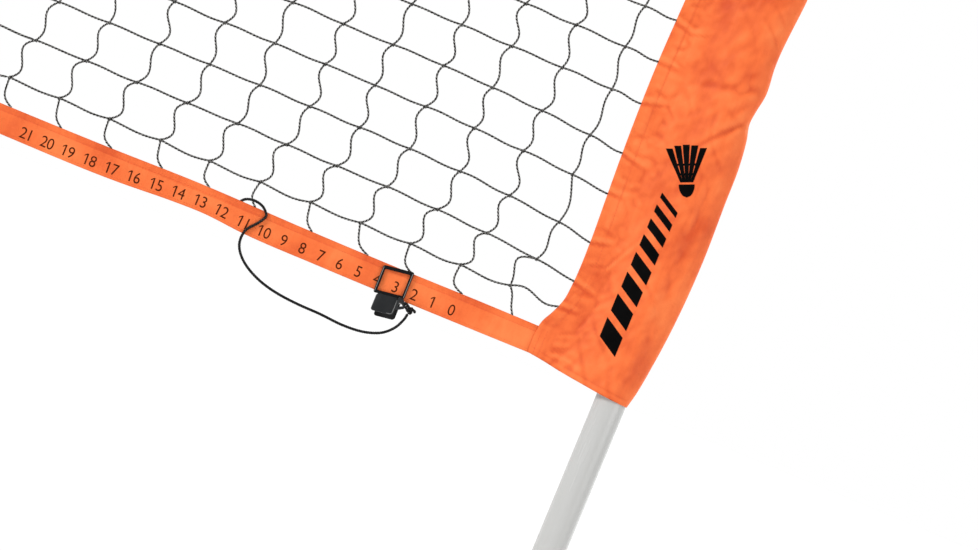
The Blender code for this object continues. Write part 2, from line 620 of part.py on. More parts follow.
def make_scorer(side, end):
    """Sliding scorer: window jaw in front, plain jaw behind, pin, spring, tether eye, knot and tether."""
    clip = new_empty(f"{side}_scorer", end, (SCORER_X - POLE_X, 0, SCORER_Z), (0, -SCORER_TILT, 0))
    wide, high = WINDOW_SIZE[0] / 2, WINDOW_SIZE[1] / 2
    near, far = JAW_Y

    def rectangle(half_wide, half_high, round_by):
        corners = ((1, 1, 0), (-1, 1, 90), (-1, -1, 180), (1, -1, 270))
        spots = []
        for right, up, start in corners:
            centre = (right * (half_wide - round_by), up * (half_high - round_by))
            spots += arc(centre, round_by, start, start + 90, 3)
        return spots

    opening = rectangle(wide - WINDOW_BAR, high - WINDOW_BAR, 0.8 * MM)
    window = [rectangle(wide, high, 1.8 * MM), opening]
    front = new_outline(f"{side}_scorer_frame", window, far - near, "XZ")
    finish_jaw(f"{side}_scorer_frame", clip, -1, front, 9 * MM)
    eye = [[(9.2 * MM, -12.8 * MM), (12.5 * MM, -13.2 * MM), (17.4 * MM, -20.2 * MM), (17.2 * MM, -22.6 * MM),
            (9.2 * MM, -24.4 * MM)],
           [(11.4 * MM, -15.4 * MM), (15.4 * MM, -20.8 * MM), (11.4 * MM, -22.0 * MM)]]
    add(front, new_outline("tether_eye", eye, 1.8 * MM, "XZ"), clip, (0, -5.2 * MM, 0))

    hinge = new_empty(f"{side}_scorer_hinge", clip, (0, 0, SCORER_PIN_Z))
    square = rectangle(11.5 * MM, 11.5 * MM, 2 * MM)
    jaw = new_outline(f"{side}_scorer_jaw", [square], far - near, "XZ")
    finish_jaw(f"{side}_scorer_jaw", clip, 1, jaw, 6.4 * MM)
    jaw.parent = hinge
    jaw.location.z -= SCORER_PIN_Z

    pin_end = 11.4 * MM
    pin = new_rod(f"{side}_scorer_pin", SCORER_PIN_R, (-pin_end, 0, 0), (pin_end, 0, 0))
    smooth(place(pin, STEEL, clip, (0, 0, SCORER_PIN_Z)))
    spring = new_wire(f"{side}_scorer_spring", spring_route(), 0.45 * MM)
    place(spring, STEEL, clip, (0, 0, SCORER_PIN_Z))

    knot = bpy.data.meshes.new(f"{side}_tether_knot")
    shape = bmesh.new()
    bmesh.ops.create_uvsphere(shape, u_segments=12, v_segments=8, radius=KNOT_R)
    shape.to_mesh(knot)
    shape.free()
    smooth(place(bpy.data.objects.new(f"{side}_tether_knot", knot), TWINE, clip, KNOT_AT), 60)

    route = [(-across * MM, depth * MM, SLEEVE_BOTTOM_Z + up * MM) for across, depth, up in TETHER_ROUTE]
    tether = new_wire(f"{side}_tether", smooth_route(route, 6.0 * MM), TETHER_R)
    place(tether, TWINE, end)


def spring_route():
    """Torsion spring: a coil about the pin with one arm down each pad."""
    radius, turns, half_wide, per_turn = 2.3 * MM, 3, 3.2 * MM, 10
    lean = 14 * MM
    route = [(-half_wide, -lean * 0.30, -lean * 0.70)]
    steps = turns * per_turn + per_turn // 2
    for i in range(steps + 1):
        angle = pi + 2 * pi * i / per_turn
        across = -half_wide + 2 * half_wide * i / steps
        route.append((across, radius * cos(angle), radius * sin(angle)))
    route.append((half_wide, lean * 0.30, -lean * 0.70))
    return route


def make_end(side, angle):
    end = new_empty(f"{side}_end", None, (POLE_X * cos(angle), 0, 0), (0, 0, angle))
    make_hub(side, end)
    make_hub_pad(side, end)
    for way in (-1, 1):
        make_leg(side, end, way)
    make_poles(side, end)
    make_clamp(side, end)
    make_sleeve(side, end)
    make_scorer(side, end)


for end_name, end_angle in ENDS:
    make_end(end_name, end_angle)
make_bars()
make_tapes()
make_net()
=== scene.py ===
"""Looks of the portable badminton net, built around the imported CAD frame.

Metres, +Z up, +X along the net, front towards -Y. The net is the same after half a turn about Z, so
each end's pieces are shaped at the right end (+X) and turned for the left one. Places on the cloth
are given in millimetres from the right pole's axis: "in" counts towards the net's middle, "up"
counts from the sleeve's lower corner.
"""
import json
import math
import random

import bmesh
import bpy
import numpy as np
from mathutils import Matrix, Vector, noise
from mathutils.bvhtree import BVHTree


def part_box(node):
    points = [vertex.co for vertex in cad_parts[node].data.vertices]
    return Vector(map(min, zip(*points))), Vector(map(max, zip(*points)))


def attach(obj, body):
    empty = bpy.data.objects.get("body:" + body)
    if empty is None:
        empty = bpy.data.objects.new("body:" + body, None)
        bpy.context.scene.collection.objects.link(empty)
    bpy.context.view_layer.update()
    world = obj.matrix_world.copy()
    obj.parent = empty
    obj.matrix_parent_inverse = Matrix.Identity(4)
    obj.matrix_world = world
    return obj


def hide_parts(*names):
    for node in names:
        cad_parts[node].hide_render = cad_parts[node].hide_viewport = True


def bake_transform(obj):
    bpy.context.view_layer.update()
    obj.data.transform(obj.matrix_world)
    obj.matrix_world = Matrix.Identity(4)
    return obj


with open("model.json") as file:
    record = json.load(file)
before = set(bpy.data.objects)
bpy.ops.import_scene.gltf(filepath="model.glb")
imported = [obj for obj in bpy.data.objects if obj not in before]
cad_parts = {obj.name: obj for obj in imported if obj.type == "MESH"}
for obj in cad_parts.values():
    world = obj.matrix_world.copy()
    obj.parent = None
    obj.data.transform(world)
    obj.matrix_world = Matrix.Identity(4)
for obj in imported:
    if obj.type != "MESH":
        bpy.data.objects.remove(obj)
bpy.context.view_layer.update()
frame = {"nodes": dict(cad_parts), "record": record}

MM = 0.001
TAU = 2 * math.pi
ENDS = {"right": Matrix.Identity(4), "left": Matrix.Rotation(math.pi, 4, "Z")}

# taken from the frame, in millimetres where not said otherwise
sleeve_low, sleeve_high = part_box("right_sleeve")
pole_low, pole_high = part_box("right_upper_pole")
corner_up = sleeve_low.z  # height of the sleeve's lower corner, in metres
POLE_X = (pole_low.x + pole_high.x) / 2 / MM
POLE_R = (pole_high.x - pole_low.x) / 2 / MM
SLEEVE_HEIGHT = (sleeve_high.z - sleeve_low.z) / MM
TOP_TAPE_LOW, TOP_TAPE_HIGH = ((corner.z - corner_up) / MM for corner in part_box("top_tape"))


# ---------------------------------------------------------------- camera, light and stage

PICTURE_WIDTH_AT_NET = 909.5
PICTURE_MIDDLE = (149.7, 65.0)  # in and up
LENS = 85.0
SENSOR = 36.0
ROLL = math.radians(22.5)
SURROUND_STRENGTH = 0.34  # of the light that the white surround sheds
SUNS = (  # name, strength, width in degrees, direction
    ("key", 1.95, 16, (0.8, 0.45, -0.45)),
    ("fill", 1.3, 40, (-0.8, 0.6, -0.2)),
    ("back", 2.4, 20, (-0.5, -0.6, -0.6)),
)


def make_camera():
    """Face on to the net's lower right corner, rolled so that the pole leans right."""
    camera = bpy.data.objects.new("camera", bpy.data.cameras.new("camera"))
    bpy.context.scene.collection.objects.link(camera)
    camera.data.lens = LENS
    camera.data.sensor_width = SENSOR
    camera.data.clip_start = 0.05
    camera.data.clip_end = 100
    inwards, up = PICTURE_MIDDLE
    centre = Vector(at_right_end(inwards, -PICTURE_WIDTH_AT_NET * LENS / SENSOR, up))
    right = Vector((math.cos(ROLL), 0, math.sin(ROLL)))
    upright = Vector((-math.sin(ROLL), 0, math.cos(ROLL)))
    back = Vector((0, -1, 0))
    camera.matrix_world = Matrix.Translation(centre) @ Matrix((right, upright, back)).transposed().to_4x4()
    bpy.context.scene.camera = camera


def make_light():
    """White studio surround, a broad key from the upper left and a weaker fill from the right."""
    world = bpy.data.worlds.new("studio")
    bpy.context.scene.world = world
    world.use_nodes = True
    nodes, links = world.node_tree.nodes, world.node_tree.links
    seen = nodes["Background"]
    seen.inputs["Color"].default_value = (1, 1, 1, 1)
    seen.inputs["Strength"].default_value = 1.0
    shed = nodes.new("ShaderNodeBackground")
    shed.inputs["Color"].default_value = (1.0, 1.0, 1.0, 1)
    shed.inputs["Strength"].default_value = SURROUND_STRENGTH
    path = nodes.new("ShaderNodeLightPath")
    mix = nodes.new("ShaderNodeMixShader")
    links.new(path.outputs["Is Camera Ray"], mix.inputs["Fac"])
    links.new(shed.outputs["Background"], mix.inputs[1])
    links.new(seen.outputs["Background"], mix.inputs[2])
    links.new(mix.outputs["Shader"], nodes["World Output"].inputs["Surface"])
    for name, strength, width, towards in SUNS:
        lamp = bpy.data.objects.new(name, bpy.data.lights.new(name, "SUN"))
        lamp.data.energy = strength
        lamp.data.angle = math.radians(width)
        lamp.rotation_euler = Vector(towards).to_track_quat("-Z", "Y").to_euler()
        bpy.context.scene.collection.objects.link(lamp)
    bpy.context.scene.view_settings.view_transform = "Standard"


def make_floor():
    bpy.ops.mesh.primitive_plane_add(size=60)
    floor = bpy.context.object
    floor.name = "floor"
    made, tree = new_material("floor_white", (0.93, 0.93, 0.93), 0.7)
    grain = node(tree, "ShaderNodeTexNoise", Scale=3.0, Detail=2.0)
    colour_from(tree, grain.outputs["Fac"], ((0.3, (0.92, 0.92, 0.92)), (0.7, (0.94, 0.94, 0.94))))
    floor.data.materials.append(made)


# ---------------------------------------------------------------- material helpers

def new_material(name, colour, roughness, metallic=0.0, **sockets):
    made = bpy.data.materials.new(name)
    made.use_nodes = True
    shader = made.node_tree.nodes["Principled BSDF"]
    shader.inputs["Base Color"].default_value = (*colour, 1)
    shader.inputs["Roughness"].default_value = roughness
    shader.inputs["Metallic"].default_value = metallic
    for socket, value in sockets.items():
        shader.inputs[socket.replace("_", " ")].default_value = value
    return made, made.node_tree


def shader_of(tree):
    return tree.nodes["Principled BSDF"]


def node(tree, kind, **sockets):
    """A node with some of its sockets set."""
    made = tree.nodes.new(kind)
    for socket, value in sockets.items():
        made.inputs[socket].default_value = value
    return made


def maths(tree, operation, *values):
    """A Math node fed with sockets or numbers; returns its output."""
    made = tree.nodes.new("ShaderNodeMath")
    made.operation = operation
    for socket, value in zip(made.inputs, values):
        if isinstance(value, (int, float)):
            socket.default_value = value
        else:
            tree.links.new(value, socket)
    return made.outputs[0]


def plus(tree, first, second):
    return maths(tree, "ADD", first, second)


def times(tree, first, second):
    return maths(tree, "MULTIPLY", first, second)


def colour_from(tree, value, stops):
    """Base colour from a value, through a ramp with (place, colour) stops."""
    made = tree.nodes.new("ShaderNodeValToRGB")
    tree.links.new(value, made.inputs["Fac"])
    band = made.color_ramp
    while len(band.elements) < len(stops):
        band.elements.new(0.5)
    for element, (place, colour) in zip(band.elements, stops):
        element.position = place
        element.color = (*colour, 1)
    tree.links.new(made.outputs["Color"], shader_of(tree).inputs["Base Color"])


def roughness_from(tree, value, low, high):
    made = tree.nodes.new("ShaderNodeMapRange")
    made.inputs["To Min"].default_value = low
    made.inputs["To Max"].default_value = high
    tree.links.new(value, made.inputs["Value"])
    tree.links.new(made.outputs["Result"], shader_of(tree).inputs["Roughness"])


def bump_from(tree, value, depth, strength=1.0):
    """Bump of that depth in metres, over the one that the shader may already have."""
    made = node(tree, "ShaderNodeBump", Strength=strength, Distance=depth)
    normal = shader_of(tree).inputs["Normal"]
    for link in normal.links:
        tree.links.new(link.from_socket, made.inputs["Normal"])
    tree.links.new(value, made.inputs["Height"])
    tree.links.new(made.outputs["Normal"], normal)


def object_noise(tree, scale, detail=3.0, stretch=(1, 1, 1)):
    """Noise in object coordinates, in cycles a metre; returns its factor."""
    place = tree.nodes.new("ShaderNodeTexCoord")
    mapping = node(tree, "ShaderNodeMapping", Scale=stretch)
    grain = node(tree, "ShaderNodeTexNoise", Scale=scale, Detail=detail)
    tree.links.new(place.outputs["Object"], mapping.inputs["Vector"])
    tree.links.new(mapping.outputs["Vector"], grain.inputs["Vector"])
    return grain.outputs["Fac"]


def uv_parts(tree):
    """The two UV coordinates, which hold metres on the cloth and twine meshes."""
    place = tree.nodes.new("ShaderNodeUVMap")
    parts = tree.nodes.new("ShaderNodeSeparateXYZ")
    tree.links.new(place.outputs["UV"], parts.inputs["Vector"])
    return parts.outputs["X"], parts.outputs["Y"]


def grained(name, colour, roughness, tone, rough, relief, metallic=0.0, **sockets):
    """Material with noise in its tone, roughness (if any) and relief: each gives its noise, then its span."""
    made, tree = new_material(name, colour, roughness, metallic, **sockets)
    colour_from(tree, object_noise(tree, *tone[0]), tone[1])
    if rough:
        roughness_from(tree, object_noise(tree, *rough[0]), *rough[1:])
    bump_from(tree, object_noise(tree, *relief[0]), *relief[1:])
    return made


# ---------------------------------------------------------------- materials

THREAD_PITCH = 0.55 * MM
CRUMPLE_DEPTH = 3.0 * MM
CORD_LAY = 6.6


def make_fabric(name, doubled_from=None):
    """Orange coated polyester: plain weave, soft mottling, small crumples, a satin sheen, and painted shade
    in the creases with painted highlight on the crest of each fold, from the mesh's relief attribute.

    doubled_from is the height in metres above which the cloth is double, and so a little deeper in colour.
    """
    made, tree = new_material(name, (0.95, 0.15, 0.04), 0.62, Sheen_Weight=0.06, Sheen_Roughness=0.5,
                              Sheen_Tint=(1.0, 0.7, 0.5, 1), Specular_IOR_Level=0.25)
    across, along = uv_parts(tree)
    warp, weft = (maths(tree, "SINE", times(tree, place, TAU / THREAD_PITCH)) for place in (across, along))
    weave = times(tree, warp, weft)
    thread = object_noise(tree, 180.0, 2.0, (1, 1, 0.15))
    mottle = plus(tree, object_noise(tree, 22.0, 6.0), maths(tree, "SUBTRACT", times(tree, thread, 0.2), 0.1))
    # painted shade and highlight: the relief attribute darkens the colour in each crease and lightens it on
    # each crest
    relief = tree.nodes.new("ShaderNodeAttribute")
    relief.attribute_name = "relief"
    tone = plus(tree, mottle, times(tree, weave, 0.02))
    tone = plus(tree, tone, times(tree, relief.outputs["Fac"], 0.19))
    if doubled_from is not None:
        doubled = maths(tree, "GREATER_THAN", along, doubled_from)
        tone = maths(tree, "SUBTRACT", plus(tree, tone, 0.08), times(tree, doubled, 0.15))
    colour_from(tree, tone, ((0.20, (0.66, 0.080, 0.015)), (0.50, (0.86, 0.155, 0.034)),
                             (0.75, (0.94, 0.22, 0.058))))
    roughness_from(tree, mottle, 0.5, 0.72)
    crumple = plus(tree, object_noise(tree, 48.0, 4.0), times(tree, object_noise(tree, 130.0, 3.0), 0.3))
    bump_from(tree, crumple, CRUMPLE_DEPTH)
    bump_from(tree, weave, 0.05 * MM, 0.5)
    return made


def strand_crowns(tree, pitch, strands):
    """1 on the crown of each strand of a twine or cord and 0 between strands."""
    along, around = uv_parts(tree)
    turns = plus(tree, times(tree, along, 1 / pitch), times(tree, around, strands))
    return plus(tree, times(tree, maths(tree, "SINE", times(tree, turns, TAU)), 0.5), 0.5)


def make_twine():
    """Two-ply twine: near-black strands with a painted highlight, light grey flecks on the crown of each ply
    where it would catch the light.
    """
    made, tree = new_material("twine", (0.03, 0.03, 0.03), 0.85, Specular_IOR_Level=0.2)
    ply = strand_crowns(tree, 3.3 * MM, 2.0)
    tone = plus(tree, times(tree, ply, 0.55), times(tree, object_noise(tree, 700.0, 2.0), 0.45))
    # painted highlight: light grey on the crown of each ply, broken up by fibre noise
    colour_from(tree, tone, ((0.45, (0.004, 0.004, 0.004)), (0.62, (0.035, 0.034, 0.033)),
                             (0.80, (0.42, 0.41, 0.39))))
    bump_from(tree, ply, 0.25 * MM, 0.7)
    return made


def make_cord():
    """Black laid cord with a painted shine: lighter grey on the crown of each strand, where the fibre noise
    is high.
    """
    made, tree = new_material("black_cord", (0.008, 0.008, 0.008), 0.45, Specular_IOR_Level=0.15)
    fibre = object_noise(tree, 1500.0, 2.0)
    tone = times(tree, strand_crowns(tree, CORD_LAY * MM / 3, 3.0), fibre)
    # painted shine: lighter grey on the strand crowns
    colour_from(tree, tone, ((0.1, (0.002, 0.002, 0.002)), (0.5, (0.008, 0.008, 0.008)),
                             (0.72, (0.16, 0.16, 0.16))))
    roughness_from(tree, fibre, 0.35, 0.6)
    bump_from(tree, fibre, 0.1 * MM, 0.5)
    return made


def make_moulding(name, dark, edge_highlight, rough, shine=0.38):
    """Moulded nylon with a fine spark-eroded grain and a painted highlight: lighter colour along its rounded
    edges.
    """
    made, tree = new_material(name, dark, rough[0], Specular_IOR_Level=shine)
    cloud = object_noise(tree, 90.0, 4.0)
    # painted highlight: the bevel node finds the rounded edges, which get the lighter colour
    highlight_bevel = node(tree, "ShaderNodeBevel", Radius=0.7 * MM)
    highlight_bevel.samples = 4
    geometry = tree.nodes.new("ShaderNodeNewGeometry")
    bend = tree.nodes.new("ShaderNodeVectorMath")
    bend.operation = "DOT_PRODUCT"
    tree.links.new(highlight_bevel.outputs["Normal"], bend.inputs[0])
    tree.links.new(geometry.outputs["Normal"], bend.inputs[1])
    edge = maths(tree, "SUBTRACT", 1.0, bend.outputs["Value"])
    # painted edge highlight, blended with random tone from the cloud noise
    tone = plus(tree, times(tree, edge, 2.2), times(tree, cloud, 0.35))
    colour_from(tree, tone, ((0.12, dark), (0.9, edge_highlight)))
    roughness_from(tree, cloud, *rough)
    bump_from(tree, object_noise(tree, 2200.0, 3.0), 0.04 * MM, 0.5)
    return made


def make_ink(name, deep, thin):
    """Screen-printed ink that lets a little of the weave through."""
    grain = (600.0, 3.0)
    return grained(name, deep, 0.6, (grain, ((0.45, deep), (0.75, thin))), (grain, 0.5, 0.75),
                   (grain, 0.03 * MM, 0.4), Specular_IOR_Level=0.04)


FABRIC = make_fabric("orange_polyester")
TAPE_FABRIC = make_fabric("orange_tape", 33 * MM)
TWINE = make_twine()
CORD = make_cord()
STREAKED = (60.0, 6.0, (1, 1, 0.08))  # along an upright tube
POLE_PAINT = grained("pole_grey_gloss", (0.60, 0.60, 0.585), 0.22,
                     (STREAKED, ((0.3, (0.465, 0.465, 0.45)), (0.7, (0.515, 0.515, 0.505)))),
                     (STREAKED, 0.16, 0.34), ((260.0, 2.0), 0.03 * MM, 0.4),
                     Coat_Weight=0.35, Coat_Roughness=0.2)
POWDER_COAT = grained("black_powder_coat", (0.028, 0.028, 0.03), 0.5,
                      ((25.0, 4.0), ((0.3, (0.022, 0.022, 0.023)), (0.7, (0.036, 0.036, 0.038)))),
                      ((900.0, 3.0), 0.38, 0.6), ((900.0, 3.0), 0.08 * MM, 0.6))
NYLON = make_moulding("black_nylon", (0.022, 0.022, 0.024), (0.075, 0.075, 0.08), (0.42, 0.6))
SCORER_PLASTIC = make_moulding("scorer_plastic", (0.009, 0.0105, 0.012), (0.05, 0.05, 0.05), (0.3, 0.45))
# painted shade: a darker, less shiny copy of the scorer's plastic for the window bars
SCORER_BAR_SHADED = make_moulding("scorer_window_painted_shade", (0.003, 0.0035, 0.004), (0.012, 0.012, 0.012),
                           (0.35, 0.5), 0.14)
# painted shade: a darker, less shiny copy of the scorer's plastic for the jaw behind the tape
SCORER_SHADE = make_moulding("scorer_back_painted_shade", (0.002, 0.002, 0.002), (0.10, 0.10, 0.10),
                             (0.3, 0.45), 0.10)
# painted highlight: light grey plastic for the raised beads, standing for the highlight lines along the
# clip's edges
SCORER_HIGHLIGHT = make_moulding("scorer_painted_highlight", (0.15, 0.155, 0.155), (0.30, 0.30, 0.30), (0.28, 0.4))
RUBBER = grained("black_rubber", (0.018, 0.018, 0.018), 0.85,
                 ((700.0, 4.0), ((0.3, (0.013, 0.013, 0.013)), (0.7, (0.026, 0.026, 0.025)))),
                 ((700.0, 4.0), 0.75, 0.95), ((700.0, 4.0), 0.12 * MM, 0.6))
BRUSHED = (400.0, 4.0, (1, 1, 0.1))
ZINC = grained("zinc_plate", (0.55, 0.55, 0.53), 0.3,
               (BRUSHED, ((0.3, (0.48, 0.48, 0.47)), (0.7, (0.62, 0.62, 0.60)))),
               (BRUSHED, 0.22, 0.42), (BRUSHED, 0.02 * MM, 0.4), 1.0)
DIGIT_INK = make_ink("digit_ink", (0.060, 0.012, 0.003), (0.13, 0.024, 0.007))
SLEEVE_INK = make_ink("sleeve_ink", (0.0008, 0.0008, 0.0008), (0.002, 0.0015, 0.0015))
THREAD = grained("orange_thread", (0.85, 0.11, 0.03), 0.7,
                 ((1500.0, 2.0), ((0.3, (0.70, 0.085, 0.022)), (0.7, (0.95, 0.14, 0.04)))),
                 None, ((1500.0, 2.0), 0.05 * MM, 0.5))


# ---------------------------------------------------------------- mesh helpers

def new_piece(name, shape, material):
    """Mesh object in the row frame from points, faces and a uv pair for each corner of each face."""
    points, faces, uvs = (np.asarray(part) for part in shape)
    mesh = bpy.data.meshes.new(name)
    mesh.vertices.add(len(points))
    mesh.vertices.foreach_set("co", points.ravel())
    mesh.loops.add(faces.size)
    mesh.loops.foreach_set("vertex_index", faces.ravel())
    mesh.polygons.add(len(faces))
    mesh.polygons.foreach_set("loop_start", np.arange(len(faces)) * faces.shape[1])
    mesh.uv_layers.new(name="UVMap").data.foreach_set("uv", uvs.ravel())
    mesh.update(calc_edges=True)
    mesh.validate()
    mesh.shade_smooth()
    mesh.materials.append(material)
    piece = bpy.data.objects.new(name, mesh)
    bpy.context.scene.collection.objects.link(piece)
    return piece


def mesh_of(data):
    """Mesh of a curve or a text."""
    holder = bpy.data.objects.new("holder", data)
    bpy.context.scene.collection.objects.link(holder)
    bpy.context.view_layer.update()
    mesh = bpy.data.meshes.new_from_object(holder.evaluated_get(bpy.context.evaluated_depsgraph_get()))
    bpy.data.objects.remove(holder)
    return mesh


def two_ends(piece):
    """A right-end piece as it is and a copy of it turned for the left end, by side."""
    left = piece.copy()
    left.name = piece.name.replace("right_", "left_", 1)
    left.data = piece.data.copy()
    left.data.transform(ENDS["left"])
    bpy.context.scene.collection.objects.link(left)
    return {"right": piece, "left": left}


def thicken(piece, thickness):
    """Give a sheet its thickness, in millimetres, half of it to each side."""
    cloth = piece.modifiers.new("cloth", "SOLIDIFY")
    cloth.thickness = thickness * MM
    cloth.offset = 0


def fasten(piece, body, slot, *replaced):
    """Put a piece on its body and hide the CAD nodes that it stands for; slot is not used."""
    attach(piece, body)
    if replaced:
        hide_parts(*replaced)


def fasten_both(piece, body, slot, *replaced):
    """Fasten a right-end piece and its copy at the left end; SIDE in a name becomes right or left."""
    pieces = two_ends(piece)
    for side, made in pieces.items():
        fasten(made, body.replace("SIDE", side), slot, *(name.replace("SIDE", side) for name in replaced))
    return pieces


def placed(x, depth, up):
    """Row-frame points from millimetres: x, depth behind the net, up from the sleeve's corner."""
    return np.stack(np.broadcast_arrays(x * MM, depth * MM, corner_up + up * MM), axis=-1)


def at_right_end(inwards, depth, up):
    return placed(POLE_X - inwards, depth, up)


def frames_along(line):
    """Unit tangent, normal and binormal at each point of a line, carried along without twist."""
    line = np.asarray(line, float)
    tangent = np.gradient(line, axis=0)
    tangent /= np.linalg.norm(tangent, axis=1)[:, None]
    normal = np.zeros_like(tangent)
    start = np.cross(tangent[0], (0, 1, 0))
    if np.linalg.norm(start) < 0.1:
        start = np.cross(tangent[0], (1, 0, 0))
    normal[0] = start / np.linalg.norm(start)
    for i in range(1, len(line)):
        here = normal[i - 1] - tangent[i] * np.dot(normal[i - 1], tangent[i])
        normal[i] = here / np.linalg.norm(here)
    return tangent, normal, np.cross(tangent, normal)


def run_along(line):
    """Distance along a line at each of its points."""
    return np.concatenate(([0], np.cumsum(np.linalg.norm(np.diff(line, axis=0), axis=1))))


def resampled(line, step):
    """The line with points evenly spaced by about step."""
    line = np.asarray(line, float)
    run = run_along(line)
    at = np.linspace(0, run[-1], max(2, int(round(run[-1] / step)) + 1))
    return np.stack([np.interp(at, run, line[:, k]) for k in range(3)], axis=1)


def over_grid(uv_grid, closed=False):
    """Quads over a grid of points, row after row, and their uvs.

    In a closed grid the last column joins the first, and uv_grid has one column more than there are points.
    """
    rows, columns = uv_grid.shape[0], uv_grid.shape[1] - closed
    i, j = np.meshgrid(np.arange(rows - 1), np.arange(uv_grid.shape[1] - 1), indexing="ij")
    after = (j + 1) % columns
    quads = np.stack([i * columns + j, i * columns + after, (i + 1) * columns + after, (i + 1) * columns + j],
                     axis=-1)
    uvs = np.stack([uv_grid[i, j], uv_grid[i, j + 1], uv_grid[i + 1, j + 1], uv_grid[i + 1, j]], axis=-2)
    return quads.reshape(-1, 4), uvs.reshape(-1, 2)


def laid_tube(line, radius, sides, lobes=1, depth=0.0, lay=1.0):
    """Tube along a line whose section has lobes that wind round with the lay: points, quads, uvs.

    The ends are closed by small rings that shrink to nearly nothing.
    """
    tangent, normal, other = frames_along(line)
    run = run_along(line)
    around = np.arange(sides) * TAU / sides
    wave = np.cos(lobes * around[None, :] - TAU * lobes * run[:, None] / lay)
    size = radius * (1 - depth + depth * wave)
    size[[0, -1]] *= 0.05
    ring = (np.cos(around)[None, :, None] * normal[:, None, :]
            + np.sin(around)[None, :, None] * other[:, None, :])
    points = np.asarray(line)[:, None, :] + size[:, :, None] * ring
    uv_grid = np.stack(np.broadcast_arrays(run[:, None], np.arange(sides + 1) / sides), axis=-1)
    return points.reshape(-1, 3), *over_grid(uv_grid, closed=True)


def joined(shapes):
    """Several (points, faces, uvs) as one."""
    points, faces, uvs, offset = [], [], [], 0
    for spots, quads, corners in shapes:
        points.append(spots)
        faces.append(quads + offset)
        uvs.append(corners)
        offset += len(spots)
    return np.concatenate(points), np.concatenate(faces), np.concatenate(uvs)


def with_no_uvs(points, faces):
    return points, faces, np.zeros((faces.size, 2))


def curve_through(stops):
    """Smooth function of one number through (place, value) stops, flat outside them."""
    places = np.array([stop[0] for stop in stops], float)
    values = np.array([stop[1] for stop in stops], float)
    slopes = np.gradient(values, places)

    def value(at):
        at = np.clip(at, places[0], places[-1])
        i = np.clip(np.searchsorted(places, at) - 1, 0, len(places) - 2)
        gap = places[i + 1] - places[i]
        t = (at - places[i]) / gap
        a, b = values[i], values[i + 1]
        return ((2 * t ** 3 - 3 * t ** 2 + 1) * a + (t ** 3 - 2 * t ** 2 + t) * gap * slopes[i]
                + (3 * t ** 2 - 2 * t ** 3) * b + (t ** 3 - t ** 2) * gap * slopes[i + 1])
    return value


def noise_field(across, up, scale_across, scale_up, seed):
    """Smooth noise, about -1 to 1, over arrays of places in millimetres."""
    flat = [noise.noise(Vector((a / scale_across, u / scale_up, seed)))
            for a, u in zip(np.ravel(across), np.ravel(up))]
    return np.array(flat).reshape(np.shape(across))


def hump(x, centre, width):
    """A rounded bump, 1 at its centre."""
    return np.exp(-((x - centre) / width) ** 2)


def step_up(x, low, high):
    """0 up to low, 1 from high on, smooth between."""
    t = np.clip((x - low) / (high - low), 0, 1)
    return t * t * (3 - 2 * t)


# ---------------------------------------------------------------- sleeve

# (up, in) of the inner edge and (up, out) of the outer one, in millimetres from the pole's axis
INNER_EDGE = curve_through(((0, 88.6), (39, 88.7), (44, 87.5), (57, 81.5), (71, 76.4), (90, 74.3),
                            (132, 74.2), (178, 76.4), (217, 78.2), (295, 80.0), (400, 78.0), (520, 77.0),
                            (635, 76.0)))
OUTER_EDGE = curve_through(((0, 15.4), (10, 17.8), (47, 23.2), (72, 25.8), (108, 28.2), (150, 29.2),
                            (210, 27.6), (247, 26.6), (272, 23.6), (288, 20.2), (300, 21.4), (316, 24.0),
                            (345, 22.0), (420, 26.0), (520, 24.0), (600, 25.0), (635, 24.0)))
HEM_WIDTH = 12.5
HEM_FOOT = 12.6  # height of the hem's lower end
# (in, up) of the lower edge
LOWER_EDGE = curve_through(((-16, 0.0), (15.5, 2.7), (36.5, 5.2), (55.5, 7.6), (75.5, 10.9),
                            (88.6, HEM_FOOT)))
NET_ROWS_AT_SLEEVE = (64.0, 90.6, 130.2, 179.7, 218.0, 268.5, 310.0, 350.0, 391.0, 434.0, 474.0, 516.0,
                      557.0)
PULLS = (  # folds from the corner at the tape: slope, height at the hem, size, width, length
    (0.35, 30, 0.9, 3.2, 36), (0.95, 34, 1.0, 3.6, 44), (1.9, 40, 1.0, 3.6, 44), (-0.12, 22, 0.9, 3.0, 40),
)
CLOTH_HALF = 0.35
EDGE_TURN = 6.4  # depth of the turned-up lower edge
TAPE_SEAMS = (84.5, 79.5)  # how far in the two seams at the bottom tape are
STITCH_LIFT = 0.42
PRINT_LIFT = CLOTH_HALF + 0.3
STITCH_PITCH, STITCH_LENGTH, STITCH_R, STITCH_STEP = 3.0, 2.3, 0.16, 0.5


